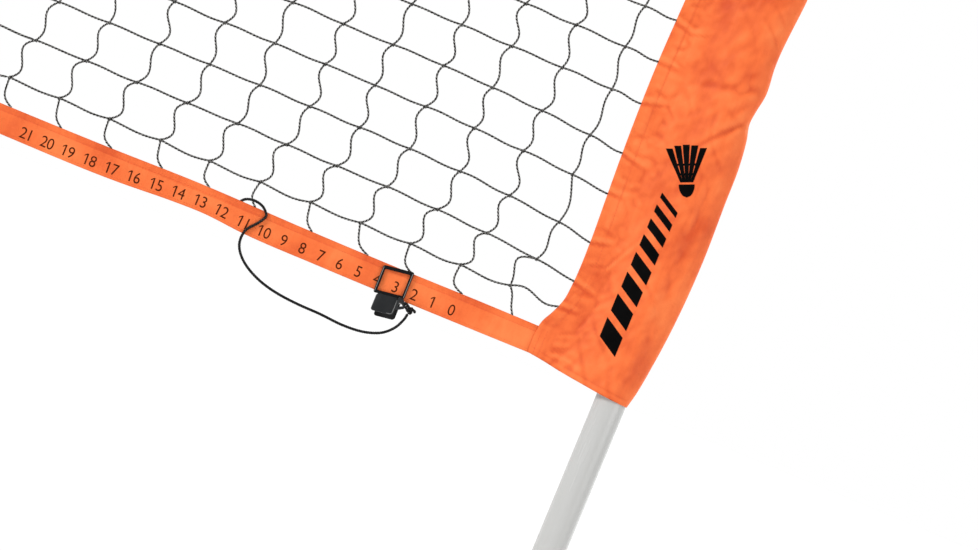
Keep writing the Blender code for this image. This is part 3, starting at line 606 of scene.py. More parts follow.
def sleeve_depth(inwards, up, face):
    """Half depth of the sleeve, in millimetres, on its front (face 1) or back (face -1)."""
    inner, outer = INNER_EDGE(up), OUTER_EDGE(up)
    hem = inner - HEM_WIDTH
    roomy = POLE_R + 1.8
    share_out = np.clip(-inwards / outer, 0, 1)
    bulge = roomy * np.sqrt(np.clip(1 - share_out ** 2.3, 0, 1))
    share_in = np.clip(inwards / hem, 0, 1)
    taper = 1.0 + (roomy - 1.0) * (0.5 + 0.5 * np.cos(math.pi * share_in)) ** 1.1
    loose = np.clip(1 - share_out ** 3, 0, 1) * (0.25 + 0.75 * (1 - step_up(inwards, hem - 8, hem + 2)))
    depth = (np.where(inwards < 0, bulge, taper) + sleeve_folds(inwards, up, face) * loose
             + hem_detail(inwards, up, hem))
    clear = np.sqrt(np.clip((POLE_R + 0.9) ** 2 - inwards ** 2, 0, None))
    at_hem = step_up(inwards, hem - 14, hem)
    at_bottom_tape = at_hem * (1 - step_up(up, 40, 46))
    at_top_tape = at_hem * step_up(up, SLEEVE_HEIGHT - 58, SLEEVE_HEIGHT - 50)
    at_head_cord = at_hem * step_up(up, SLEEVE_HEIGHT - 14, SLEEVE_HEIGHT - 7)
    flat = CLOTH_HALF + 0.15 + 0.75 * at_bottom_tape + 1.15 * at_top_tape + 2.3 * at_head_cord
    return np.maximum(np.maximum(depth, clear), flat * np.clip(1 - share_out ** 6, 0.0, 1))


def creases(inwards, up, scale_in, scale_up, sharp, seed):
    """Thin wandering creases, 0 to 1: the lines where a noise field changes sign."""
    field = noise_field(inwards, up, scale_in, scale_up, seed)
    return np.exp(-(field / sharp) ** 2)


def sleeve_folds(inwards, up, face):
    """Loose cloth: drifting vertical folds, crumples, and pulls that fan out from the corner at the tape."""
    seed = 3.1 if face > 0 else 7.7
    drift = 14 * noise_field(inwards, up, 400, 130, seed + 1)
    vertical = 2.2 * noise_field(inwards + drift, up, 19, 140, seed)
    lean = inwards * 0.8 + up * 0.6
    crumple = 1.7 * noise_field(lean, up, 24, 28, seed + 2)
    fine = 0.5 * noise_field(inwards + 0.5 * up, up, 8, 12, seed + 3)
    folds = vertical + crumple + fine
    patch = step_up(noise_field(inwards, up, 45, 60, seed + 4), -0.1, 0.35)
    folds -= 0.8 * patch * creases(inwards + 0.35 * up, up, 34, 70, 0.2, seed + 5)
    folds -= 0.6 * creases(inwards - 0.6 * up, up, 26, 40, 0.2, seed + 6) * (1 - patch)
    near_hem = step_up(inwards, 34, 58)
    folds -= 0.8 * near_hem * creases(inwards + 0.2 * up, up, 22, 13, 0.22, seed + 8)
    at_corner = near_hem * (1 - step_up(up, 95, 125))
    folds -= 1.1 * at_corner * creases(inwards + 0.5 * up, 0.7 * up, 14, 17, 0.25, seed + 9)
    run = 88 - inwards
    for slope, at, size, width, far in PULLS:
        line = at + slope * run
        fade = step_up(run, -2, 12) * (1 - step_up(run, far * 0.6, far * 1.5))
        folds += size * fade * (hump(up, line, width) - 0.7 * hump(up, line + 6, width))
    # a deep crease runs down and inwards from the notch in the outer edge
    crease = 290 - 1.1 * (inwards + 20)
    fade = 1 - step_up(inwards, 0, 38)
    folds += fade * (1.3 * hump(up, crease + 12, 7) - 1.5 * hump(up, crease, 4))
    crease = 318 - 0.25 * (inwards + 20)
    return folds - 2.0 * (1 - step_up(inwards, 20, 60)) * hump(up, crease, 5)


def hem_detail(inwards, up, hem):
    """Stitch line down the hem, a turned-up lower edge and the seams at the tape."""
    sunk = -0.5 * hump(inwards, hem, 1.3) * step_up(up, 46, 60)
    sunk += 0.25 * hump(inwards, hem + 4, 3.0)
    above = up - LOWER_EDGE(inwards)
    sunk += 0.35 * (1 - step_up(above, 5.0, 6.6)) - 0.35 * hump(above, EDGE_TURN, 0.8)
    at_tape = 1 - step_up(up, 38, 48)
    outer, inner = TAPE_SEAMS
    return sunk - 0.3 * at_tape * hump(inwards, outer, 0.9) - 0.2 * at_tape * hump(inwards, inner, 0.9)


def hem_sway(inwards, up):
    """How far both layers of the hem stand forward together: puckers where each strand of the net pulls."""
    inner = INNER_EDGE(up)
    hem = inner - HEM_WIDTH
    run = inner - inwards
    flat = step_up(inwards, hem - 26, hem - 4) * step_up(up, 44, 64) * (1 - step_up(up, 570, 580))
    sway = 1.1 * noise_field(inwards, up, 60, 16, 5.9) + 0.5 * noise_field(inwards, up, 12, 9, 2.2)
    for i, row in enumerate(NET_ROWS_AT_SLEEVE):
        tilt = 0.3 * math.sin(i * 2.1)
        fade = 1 - step_up(run, 8 + 5 * math.sin(i * 1.3), 26 + 6 * math.sin(i * 1.7))
        pulled = hump(up, row + 2.6 - tilt * run, 2.6) - hump(up, row - 2.2 - tilt * run, 2.1)
        sway += 1.15 * fade * pulled
        sway -= 0.8 * fade * hump(up, row + 17 + tilt * run, 2.4) * step_up(run, 3, 10)
    at_tape = step_up(inwards, 40, 62) * (1 - step_up(inwards, 74, 80)) * (1 - step_up(up, 50, 64))
    crush = 1.0 * noise_field(inwards + 0.7 * up, up, 13, 24, 8.3)
    return flat * sway + at_tape * crush


def sleeve_point(inwards, up, face, lift=0.0):
    """Row-frame points on the right sleeve, lifted off the cloth by lift millimetres."""
    depth = face * (sleeve_depth(inwards, up, face) + lift) + hem_sway(inwards, up)
    return at_right_end(inwards, -depth, up)


def relief_of(depth):
    """How far each place on a grid stands out from what is round it: -1 in a crease, 1 on a crest. The
    cloth's colour is darkened by it as painted shade in the creases and lightened as painted highlight on
    each crest.
    """
    smooth = depth.copy()
    for _ in range(7):
        wide = np.pad(smooth, 1, mode="edge")
        smooth = (wide[:-2, 1:-1] + wide[2:, 1:-1] + wide[1:-1, :-2] + wide[1:-1, 2:] + 2 * smooth) / 6
    return np.clip((depth - smooth) / 0.45, -1, 1)


def make_sleeve():
    """Sleeve cloth: one closed sheet round the pole, from the outer fold to the hem and back, closed on top.

    Returns its surface, for what is printed on it.
    """
    columns, rows = 78, 320
    share = np.linspace(0, 1, columns)
    share = 0.45 * share + 0.55 * (1 - np.cos(math.pi * share)) / 2
    level = np.linspace(0, 1, rows)
    inward, height = [], []
    for t in level:
        up = t * SLEEVE_HEIGHT
        inner, outer = INNER_EDGE(up + HEM_FOOT * (1 - t)), OUTER_EDGE(up)
        inward.append(-outer + (inner + outer) * share)
        height.append(up + LOWER_EDGE(inward[-1]) * (1 - t))
    inward, height = np.array(inward), np.minimum(np.array(height), SLEEVE_HEIGHT)
    front, back = (sleeve_point(inward, height, face) for face in (1, -1))

    def all_round(ahead, behind):
        return np.concatenate([ahead, behind[:, ::-1][:, 1:-1]], axis=1)
    ring = all_round(front, back)
    ring[:, 0, 1] = 0
    ring[:, columns - 1, 1] = -hem_sway(inward[:, -1], height[:, -1]) * MM
    count = ring.shape[1]
    # the top is drawn shut: the last ring folds in to the middle line
    top = ring[-1].copy()
    top[:, 1] *= 0.02
    top[:, 2] += 0.0002
    points = np.concatenate([ring.reshape(-1, 3), top])
    width = np.concatenate([inward[0], 2 * inward[0, -1] - inward[0, ::-1][1:-1]])
    over = np.append(width, width[-1] + 1) * MM
    lift = np.append(level, 1) * SLEEVE_HEIGHT * MM
    quads, uvs = over_grid(np.stack(np.broadcast_arrays(over[None, :], lift[:, None]), axis=-1), closed=True)
    uvs[-4 * count:] = 0
    # painted shade and highlight: relief values that darken the cloth's colour in its creases and lighten it
    # on each crest, fading out towards the outer fold
    painted_fold_shade = [relief_of(-face * spots[..., 1] / MM) * (1 - step_up(-inward / OUTER_EDGE(height), 0.55, 0.85))
              for spots, face in ((front, 1), (back, -1))]
    relief = np.append(all_round(*painted_fold_shade).ravel(), np.zeros(count))
    sleeve = new_piece("right_sleeve_cloth", (points, quads, uvs), FABRIC)
    sleeve.data.attributes.new("relief", "FLOAT", "POINT").data.foreach_set("value", relief)
    thicken(sleeve, 2 * CLOTH_HALF)
    for side, piece in fasten_both(sleeve, "net_and_poles", "orange_fabric", "SIDE_sleeve").items():
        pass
    return BVHTree.FromPolygons(points.tolist(), quads.tolist())


def stitch_mesh(name, lines):
    """Rows of sewing thread: short raised bars along lines, drawn in at both ends."""
    each, shown = round(STITCH_PITCH / STITCH_STEP), round(STITCH_LENGTH / STITCH_STEP)
    stops = np.array([0, 1, shown // 2, shown - 1, shown])
    shapes = []
    for line in lines:
        line = resampled(line, STITCH_STEP * MM)
        starts = range(0, len(line) - shown, each)
        shapes += [laid_tube(line[start + stops], STITCH_R * MM, 3) for start in starts]
    return new_piece(name, joined(shapes), THREAD)


def make_sleeve_stitches():
    """Thread of the hem, the turned-up lower edge and the tape seams, on both faces."""
    lines = []
    for face in (1, -1):
        up = np.linspace(50, SLEEVE_HEIGHT - 4, 400)
        lines.append(sleeve_point(INNER_EDGE(up) - HEM_WIDTH, up, face, STITCH_LIFT))
        inwards = np.linspace(-13, 87, 90)
        lines.append(sleeve_point(inwards, LOWER_EDGE(inwards) + EDGE_TURN, face, STITCH_LIFT))
        up = np.linspace(14, 38, 24)
        lines += [sleeve_point(np.full(24, place), up, face, STITCH_LIFT) for place in TAPE_SEAMS]
    fasten_both(stitch_mesh("right_sleeve_stitches", lines), "net_and_poles", "orange_fabric")


def printed_patch(cloth, corners, columns, rows, lift=PRINT_LIFT):
    """Grid on the cloth's front inside four (in, up) corners, lifted off it."""
    a, b, c, d = np.asarray(corners, float)
    s, t = (part[..., None] for part in
            np.meshgrid(np.linspace(0, 1, columns), np.linspace(0, 1, rows), indexing="ij"))
    spots = (1 - s) * ((1 - t) * a + t * d) + s * ((1 - t) * b + t * c)
    points = []
    for start in at_right_end(spots[..., 0], -60, spots[..., 1]).reshape(-1, 3):
        struck = cloth.ray_cast(Vector(start), Vector((0, 1, 0)))[0]
        points.append(struck - Vector((0, lift * MM, 0)))
    quads, _ = over_grid(spots)
    return with_no_uvs(np.array(points), quads[:, [0, 3, 2, 1]])


def make_sleeve_print(cloth):
    """Printed decoration: slanted bars that widen downwards, and a plain shuttlecock above them."""
    shapes = []
    up = 197.0
    for width in range(5, 20, 2):
        near = 10.8 + (197 - up) * 0.021
        corners = ((near + 20, up), (near, up - 12.5), (near, up - 12.5 - width), (near + 20, up - width))
        shapes.append(printed_patch(cloth, corners, 16, 10))
        up -= width + 7.0
    tilt = ROLL  # so that it stands upright in the picture

    def band(low, high, columns, rows, lift=PRINT_LIFT):
        """Part of the shuttlecock between two (height along its axis, middle, half width)."""
        corners = [(middle + side * half, along) for (along, middle, half), side in
                   ((low, -1), (low, 1), (high, 1), (high, -1))]
        shapes.append(printed_patch(cloth, [
            (18.4 - across * math.cos(tilt) + along * math.sin(tilt),
             225 + across * math.sin(tilt) + along * math.cos(tilt)) for across, along in corners
        ], columns, rows, lift))

    for feather in range(5):
        lean = (feather - 2) / 2
        band((-12, 4.6 * lean, 1.2), (23 - 3.4 * lean * lean, 15.5 * lean, 3.1), 6, 20)
    for level, half in ((-4.5, 8.6), (4.5, 12.0)):
        band((level - 0.9, 0, half), (level + 0.9, 0, half), 16, 3, PRINT_LIFT + 0.02)
    cork = [(-26 + 12 * share, 0, 7.2 * math.sqrt(1 - (1 - share) ** 2)) for share in np.arange(11) / 10]
    for low, high in zip(cork, cork[1:]):
        band(low, high, 10, 3)
    fasten_both(new_piece("right_sleeve_print", joined(shapes), SLEEVE_INK), "net_and_poles", "orange_fabric")


# ---------------------------------------------------------------- tapes

# (in, up) of the bottom tape's edges
TAPE_LOW = curve_through(((88, 12.6), (140, 12.3), (300, 12.2), (375, 13.2), (420, 16.5), (445, 16.0),
                          (500, 13.0), (640, 12.4), (900, 12.6), (1500, 12.5)))
TAPE_HIGH = curve_through(((88, 39.0), (140, 39.2), (230, 38.8), (330, 39.4), (430, 41.0), (520, 39.6),
                           (700, 39.0), (1500, 39.2)))
TAPE_STEPS = 1400  # points of a line of stitches
DIGIT_HEIGHT = 10.6
DIGIT_WIDTH = 0.92  # of the font's own


def folded_tape(name, section, half, step, node_name):
    """Tape swept along the net from a section given as function(x) -> (depth, up) points in millimetres."""
    stations = np.linspace(-half, half, int(2 * half / step) + 1)
    points = np.array([placed(x, *np.transpose(section(x))) for x in stations])
    uv_grid = points[:, :, [0, 2]] - (0, corner_up)
    tape = new_piece(name, (points.reshape(-1, 3), *over_grid(uv_grid)), TAPE_FABRIC)
    thicken(tape, 0.32)
    fasten(tape, "net_and_poles", "orange_fabric", node_name)


def bottom_section(x):
    """Front and back layer of the bottom tape, folded at the bottom, with both top edges turned in."""
    inwards = POLE_X - abs(x)
    low, high = float(TAPE_LOW(inwards)), float(TAPE_HIGH(inwards))
    seam = high - 6.2
    way = 1 if x > 0 else -1
    wave = 0.09 * noise.noise(Vector((inwards / 26, way, 0.3)))
    front = [(0.22, seam + 1), (0.22, high - 0.9), (0.4, high - 0.2), (0.66, high - 0.7), (0.74, high - 2.4),
             (0.76, seam + 1.0), (0.60, seam), (0.70 + wave, seam - 1.0), (0.72 + wave, seam - 6),
             (0.70 - wave, low + 7), (0.68, low + 2), (0.55, low + 0.5)]
    back = [(-depth, up) for depth, up in reversed(front)]
    return [(-way * depth, up) for depth, up in front + [(0.0, low)] + back]


def top_section(x):
    """Top tape folded over the head cord, with both lower edges turned in."""
    low, high = TOP_TAPE_LOW, TOP_TAPE_HIGH
    bulge = high - 3.5
    way = 1 if x > 0 else -1
    wave = 0.25 * noise.noise(Vector((abs(x) * 0.03, way, 4.3)))
    front = [(0.3, low + 7), (0.3, low + 1), (0.55, low + 0.2), (0.85, low + 0.8), (0.9, low + 7),
             (0.7, low + 8), (0.85 + wave, low + 10), (0.95 + wave, low + 22), (0.95 + wave, low + 34),
             (0.75, low + 40.5), (1.5, low + 41.8), (2.9, bulge - 1.6), (3.3, bulge + 0.4),
             (2.4, bulge + 2.5)]
    back = [(-depth, up) for depth, up in reversed(front)]
    return [(-way * depth, up) for depth, up in front + [(0.0, high)] + back]


def make_tapes():
    half, top_half = POLE_X - 86.5, POLE_X - 68
    folded_tape("bottom_tape_cloth", bottom_section, half, 8, "bottom_tape")
    folded_tape("top_tape_cloth", top_section, top_half, 12, "top_tape")
    lines = []
    for way in (1, -1):
        x = np.linspace(-half, half, TAPE_STEPS)
        for edge, offset in ((TAPE_HIGH, -6.0), (TAPE_LOW, 2.6)):
            lines.append(placed(x, way * 0.86, edge(POLE_X - np.abs(x)) + offset))
        x = np.linspace(-top_half, top_half, TAPE_STEPS)
        lines += [placed(x, way * 1.0, TOP_TAPE_LOW + up) for up in (8.0, 40.5)]
    fasten(stitch_mesh("tape_stitches", lines), "net_and_poles", "orange_fabric")


def make_digits():
    """Score numbers 0 to 21, on the tape's front at the right end and on its back at the left end."""
    shapes = []
    for number in range(22):
        inwards = 169.5 + 18.75 * min(number, 10) + 21.9 * max(number - 10, 0)
        text = bpy.data.curves.new("digit", "FONT")
        text.body = str(number)
        text.space_character = 0.92
        text.resolution_u = 6
        mesh = mesh_of(text)
        flat = np.array([vertex.co for vertex in mesh.vertices])
        lowest, highest = flat.min(axis=0), flat.max(axis=0)
        spots = (flat - (lowest + highest) / 2) * DIGIT_HEIGHT / (highest[1] - lowest[1])
        mesh.calc_loop_triangles()
        faces = [tuple(triangle.vertices) for triangle in mesh.loop_triangles]
        if str(number).startswith("1"):  # the font's figure one is a plain bar, so it is given its flag
            stem = spots[spots[:, 1] > 4.8, 0].min()
            flag = [(stem, 5.3, 0), (stem - 2.5, 3.3, 0), (stem - 2.5, 2.1, 0), (stem + 0.3, 4.1, 0)]
            first = len(spots)
            faces += [(first, first + 1, first + 2), (first, first + 2, first + 3)]
            spots = np.concatenate([spots, flag])
        slant = math.atan2(float(TAPE_LOW(inwards - 5) - TAPE_LOW(inwards + 5)), 10)
        across = spots[:, 0] * DIGIT_WIDTH * math.cos(slant) - spots[:, 1] * math.sin(slant)
        up = spots[:, 0] * DIGIT_WIDTH * math.sin(slant) + spots[:, 1] * math.cos(slant)
        middle = float(TAPE_LOW(inwards)) + 9.4
        shapes.append(with_no_uvs(at_right_end(inwards - across, -0.93, middle + up), np.array(faces)))
    fasten_both(new_piece("right_score_digits", joined(shapes), DIGIT_INK), "net_and_poles", "orange_fabric")


# ---------------------------------------------------------------- net

COLUMN_PITCH = 50.455
ROW_PITCH = 41.3
FIRST_ROW = 64.0
ROWS = 13
COLUMNS_A_SIDE = 28
FINE_FROM = 17  # columns from this one outwards have each turn of the twine modelled
ROW_SHIFT = (-15, -5, 1, -1, 0, 2, -1, 1, 0, -1, 1, 0, 0)  # of knots from their column, towards the pole
ROW_DROP = (1.0, 15.5, 18.0, 11.0, 12.0, 4.0, 3.0, 2.5, 2.0, 2.0, 2.0, 1.5, 1.5)  # at the sleeve
TWINE_R = 1.12
TWINE_LAY = 6.6
STRAND_STEPS = 24  # points from one knot to the next
HITCH_R = 0.78


def node_place(column, row):
    """(x, up) in millimetres of a knot, with columns counted from the net's middle."""
    x = (column + 0.5) * COLUMN_PITCH
    from_sleeve = COLUMNS_A_SIDE - column
    near_end = min(1.0, x / 500)
    shift = ROW_SHIFT[row] * near_end
    if row in (1, 2):
        shift += 3.0 * math.exp(-(from_sleeve - 1) / 1.5)
    drop = ROW_DROP[row] * math.exp(-0.45 * from_sleeve ** 1.3)
    x += shift + 1.0 * noise.noise(Vector((column * 1.7, row * 2.3, 1.5)))
    up = FIRST_ROW + ROW_PITCH * row - drop + 0.8 * noise.noise(Vector((column * 1.3, row * 1.9, 6.5)))
    return x, up


def strand(start, end, swing, bow, depth_seed):
    """Strand between two knots with a side swing that changes sides halfway and a bow to one side."""
    t = np.linspace(0, 1, STRAND_STEPS, endpoint=False)
    start, end = np.asarray(start, float), np.asarray(end, float)
    run = end - start
    side = np.array([-run[1], run[0]]) / np.linalg.norm(run)
    offset = swing * np.sin(TAU * t) + bow * np.sin(math.pi * t)
    flat = start + t[:, None] * run + offset[:, None] * side
    depth = 0.5 * np.sin(math.pi * t) * noise.noise(Vector((depth_seed, 0.7, 3.3)))
    return np.stack([flat[:, 0], depth, flat[:, 1]], axis=-1)


def column_line(column, chance):
    """Upright strand from the top tape through every knot of a column and into the bottom tape."""
    head = (column + 0.5) * COLUMN_PITCH
    from_sleeve = COLUMNS_A_SIDE - 1 - column
    foot = head - 3 * min(1.0, column / 10) + {3: 6.0, 5: -7.0, 6: -3.0}.get(from_sleeve, 0.0)
    spots = [(head, TOP_TAPE_LOW + 4), *(node_place(column, row) for row in reversed(range(ROWS))),
             (foot, float(TAPE_HIGH(POLE_X - foot)))]
    parts = []
    for k in range(len(spots) - 1):
        row_above = ROWS - k
        swing = -chance.uniform(2.8, 4.4) * min(1.0, column / 6)
        bow = chance.uniform(-2.6, 3.2)
        if from_sleeve == 0 and row_above > 2:
            swing, bow = -1.8, chance.uniform(-1, 1.5)
        if from_sleeve == 0 and row_above in (2, 3):
            swing, bow = (-2.2, 0.8) if row_above == 2 else (-0.8, 4.6)
        if row_above == 1:
            swing, bow = -5.5, chance.uniform(-1, 1)
            if from_sleeve == 0:
                swing, bow = -3.6, -11.0
        if row_above == 0:
            swing, bow = 0.8, {0: 0.5, 1: -7.0, 2: -5.5}.get(from_sleeve, -chance.uniform(3.0, 5.5))
        if k == 0:
            swing, bow = 0.5, 0.0
        parts.append(strand(spots[k], spots[k + 1], swing, bow, column * 3.1 + k))
    parts.append(np.array([[foot, 0.0, spots[-1][1]], [foot + 0.3, 0.0, spots[-1][1] - 1.2]]))
    return np.concatenate(parts)


def row_line(row, first, last, chance):
    """Level strand through the knots of a row, from column first outwards to the sleeve or to column last."""
    spots = [node_place(column, row) for column in range(first, last)]
    if first == 0:
        spots = [(-x, up) for x, up in reversed(spots)] + spots
    if last == COLUMNS_A_SIDE:
        up = FIRST_ROW + ROW_PITCH * row - ROW_DROP[row]
        spots.append((POLE_X - float(INNER_EDGE(up)) + 0.9, up))
    parts = []
    for k in range(len(spots) - 1):
        near = last == COLUMNS_A_SIDE and k >= len(spots) - 4
        swing = 0.6 if near else 0.4
        bow = chance.uniform(-2.6, -1.2) if row == 0 else chance.uniform(-0.7, 0.4)
        if row == 0 and last == COLUMNS_A_SIDE and k == len(spots) - 2:
            swing, bow = 2.2, 0.6
        parts.append(strand(spots[k], spots[k + 1], swing * chance.uniform(0.5, 1.5), bow, row * 5.3 + k))
    parts.append(np.array([[spots[-1][0], 0.0, spots[-1][1]]]))
    line = np.concatenate(parts)
    if last == COLUMNS_A_SIDE:
        sway = float(hem_sway(np.array([float(INNER_EDGE(up)) - 0.9]), np.array([up]))[0])
        line[-STRAND_STEPS:, 1] -= sway * np.linspace(0, 1, STRAND_STEPS) ** 2
    return line


def hitch(x, up, sides, steps):
    """Knot where two strands cross: the upright twine takes a turn and a half round the level one."""
    t = np.linspace(0, 1, steps)
    angle = TAU * 1.5 * t + 0.6
    line = placed(x + 1.1 * (2 * t - 1), 1.25 * np.sin(angle), up + 1.25 * np.cos(angle))
    return laid_tube(line, HITCH_R * MM, sides)


def make_net():
    """Every strand and knot: the outer columns with each turn of the twine, the middle ones plainer."""
    chance = random.Random(11)

    def fine(line):
        return laid_tube(resampled(placed(*line.T), 1.1 * MM), TWINE_R * MM, 6, 2, 0.16, TWINE_LAY * MM)

    def plain(line):
        return laid_tube(resampled(placed(*line.T), 4.0 * MM), TWINE_R * 0.9 * MM, 6)

    shapes = []
    for column in range(FINE_FROM, COLUMNS_A_SIDE):
        shapes.append(fine(column_line(column, chance)))
        shapes += [hitch(*node_place(column, row), 5, 12) for row in range(ROWS)]
    for row in range(ROWS):
        shapes.append(fine(row_line(row, FINE_FROM - 1, COLUMNS_A_SIDE, chance)[STRAND_STEPS:]))
    outer = new_piece("right_net_twine", joined(shapes), TWINE)
    fasten_both(outer, "net_and_poles", "net_twine", "net_panel")

    shapes = []
    for column in range(FINE_FROM):
        shapes.append(plain(column_line(column, chance)))
        shapes += [hitch(*node_place(column, row), 4, 9) for row in range(ROWS)]
    points, faces, uvs = joined(shapes)
    shapes = [(points, faces, uvs), (points * np.array([-1, -1, 1]), faces, uvs)]
    shapes += [plain(row_line(row, 0, FINE_FROM + 1, chance)) for row in range(ROWS)]
    middle = new_piece("middle_net_twine", joined(shapes), TWINE)
    fasten(middle, "net_and_poles", "net_twine", "net_panel")


def make_head_cord():
    low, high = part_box("head_cord")
    middle = (low + high) / 2
    x = np.arange(low.x, high.x, 4 * MM)
    line = np.stack(np.broadcast_arrays(x, middle.y, middle.z), axis=-1)
    cord = new_piece("head_cord_rope", laid_tube(line, 1.75 * MM, 12, 3, 0.1, 24 * MM), CORD)
    fasten(cord, "net_and_poles", "net_twine", "head_cord")


# ---------------------------------------------------------------- tether

TETHER_DIAMETER = 2.6 * MM
# (in, depth, up) in millimetres, from behind the tape, over its top edge and round to the scorer's knot
TETHER_ROUTE = (
    (391.5, 2.6, 28.0), (392.0, 2.7, 33.0), (390.5, 2.7, 38.5), (386.0, 1.9, 43.5), (378.0, -0.9, 45.5),
    (369.5, -2.2, 44.0), (364.0, -2.5, 40.0), (362.0, -2.5, 35.5), (366.5, -2.4, 27.5), (374.5, -2.4, 17.0),
    (375.5, -2.5, 5.0), (370.5, -2.6, -5.0), (360.0, -2.8, -14.0), (344.0, -3.0, -21.5), (325.0, -3.2, -26.0),
    (303.0, -3.4, -28.0), (281.0, -3.6, -28.5), (258.0, -3.9, -30.0), (238.0, -4.2, -28.5),
    (222.0, -4.5, -23.0), (212.0, -4.7, -14.0), (207.0, -4.9, -4.0), (205.5, -5.0, 3.0),
)


def smooth_line(points, per_gap=10):
    """Curve through the points (Catmull-Rom)."""
    points = np.asarray(points, float)
    padded = np.concatenate([[2 * points[0] - points[1]], points, [2 * points[-1] - points[-2]]])
    t = np.linspace(0, 1, per_gap, endpoint=False)[:, None]
    parts = []
    for k in range(len(points) - 1):
        a, b, c, d = padded[k:k + 4]
        parts.append(0.5 * (2 * b + (c - a) * t + (2 * a - 5 * b + 4 * c - d) * t ** 2
                            + (3 * b - a - 3 * c + d) * t ** 3))
    return np.concatenate(parts + [points[-1:]])


def cord_mesh(line, step=0.9):
    line = resampled(line, step * MM)
    return laid_tube(line, TETHER_DIAMETER / 2 * 1.1, 15, 3, 0.11, CORD_LAY * MM)


def overhand(centre, size, axis_turn):
    """Closed overhand knot drawn tight, as row-frame points."""
    t = np.linspace(0, TAU, 90)
    loop = np.stack([np.sin(t) + 2 * np.sin(2 * t), -0.95 * np.sin(3 * t), np.cos(t) - 2 * np.cos(2 * t)],
                    axis=-1)
    turn = np.array(Matrix.Rotation(axis_turn, 3, "Y"))
    return np.asarray(centre) + (loop * size * MM) @ turn.T


def make_tethers():
    line = at_right_end(*smooth_line(TETHER_ROUTE).T)
    tether = new_piece("right_tether_cord", cord_mesh(line), CORD)
    anchor = at_right_end(391.0, 3.6, 24.5)
    stopper = new_piece("right_tether_stopper", cord_mesh(overhand(anchor, 0.85, 0.4), 0.7), CORD)
    low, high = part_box("right_tether_knot")
    knot_at = np.array((low + high) / 2)
    tail = [(0.5, -1.0, 0.8), (2.6, -1.6, 1.6), (4.4, -1.4, 1.0), (5.4, -1.0, -0.8)]
    eye = [(-0.5, 0.0, 1.0), (-2.6, -1.6, 3.0), (-5.2, -1.7, 4.6), (-7.0, -0.2, 4.2), (-6.6, 1.0, 2.4),
           (-4.0, 0.6, 0.8), (-1.0, 0.4, -0.4)]
    knot = new_piece("right_tether_overhand", joined([
        cord_mesh(overhand(knot_at, 0.9, -0.5), 0.7),
        *(cord_mesh(smooth_line(knot_at + np.array(steps) * MM), 0.7) for steps in (tail, eye))]), CORD)
    fasten_both(stopper, "net_and_poles", "tether_cord")
    fasten_both(knot, "SIDE_scorer", "tether_cord", "SIDE_tether_knot")
    for side, piece in two_ends(tether).items():
        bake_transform(piece)
        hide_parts(f"{side}_tether")


# ---------------------------------------------------------------- scorer

CLIP_MIDDLE = Vector((1272.0, 0.0, 941.0)) * MM
CLIP_ACROSS = Vector((math.cos(math.radians(8)), 0, math.sin(math.radians(8))))
CLIP_UP = Vector((-0.01, 0, 1)).normalized()
CLIP_NEAR, CLIP_FAR = 1.15, 3.4  # nearest and farthest face of a jaw from the middle of the tape
CLIP_PIN_UP = -18.2
FRONT_PAD = ((-11.8, -31.2), (9.4, -14.2))


def flat_plate(outlines, thickness, rounding):
    """Plate with rounded edges from closed outlines, the later ones holes: points, triangles."""
    curve = bpy.data.curves.new("plate", "CURVE")
    curve.dimensions = "2D"
    curve.fill_mode = "BOTH"
    curve.extrude = thickness / 2 - rounding
    curve.bevel_depth = rounding
    curve.bevel_resolution = 2
    curve.offset = -rounding
    for outline in outlines:
        spline = curve.splines.new("POLY")
        spline.points.add(len(outline) - 1)
        for point, (x, y) in zip(spline.points, outline):
            point.co = (x, y, 0, 1)
        spline.use_cyclic_u = True
    shape = bmesh.new()
    shape.from_mesh(mesh_of(curve))
    bmesh.ops.remove_doubles(shape, verts=shape.verts, dist=0.001)
    bmesh.ops.triangulate(shape, faces=shape.faces)
    long_edges = [edge for edge in shape.edges if edge.calc_length() > 3.0]
    bmesh.ops.subdivide_edges(shape, edges=long_edges, cuts=3)
    bmesh.ops.triangulate(shape, faces=shape.faces)
    shape.verts.index_update()
    points = np.array([vertex.co for vertex in shape.verts])
    faces = np.array([[vertex.index for vertex in face.verts] for face in shape.faces])
    shape.free()
    return points, faces


def rounded_box(low, high, radius, steps=5):
    """Closed outline of a rectangle with rounded corners."""
    (x0, y0), (x1, y1) = low, high
    spots = []
    for cx, cy, start in ((x1 - radius, y1 - radius, 0), (x0 + radius, y1 - radius, 90),
                          (x0 + radius, y0 + radius, 180), (x1 - radius, y0 + radius, 270)):
        for i in range(steps + 1):
            angle = math.radians(start + 90 * i / steps)
            spots.append((cx + radius * math.cos(angle), cy + radius * math.sin(angle)))
    return spots


def on_clip(faces, across, depth, up):
    """Shape in the row frame from the clip's own millimetres, with depth counted from the tape."""
    points = (np.asarray(CLIP_MIDDLE) + np.outer(across, CLIP_ACROSS) * MM + np.outer(up, CLIP_UP) * MM
              + np.outer(depth, (0, 1, 0)) * MM)
    return with_no_uvs(points, faces)


def along_tape(outlines, thickness, rounding, way, depth):
    """Plate of the clip that lies along the tape; depth of its middle is a number or a function of up."""
    points, faces = flat_plate(outlines, thickness, rounding)
    across, up, through = points.T
    return on_clip(faces, across, way * ((depth(up) if callable(depth) else depth) + through), up)


def pad_depth(up):
    """Depth of a finger pad's middle: it leaves the jaw and flares away from the tape."""
    run = np.clip((-12.5 - np.asarray(up)) / 18, 0, 1.3)
    return 2.5 + 4.4 * run ** 1.25


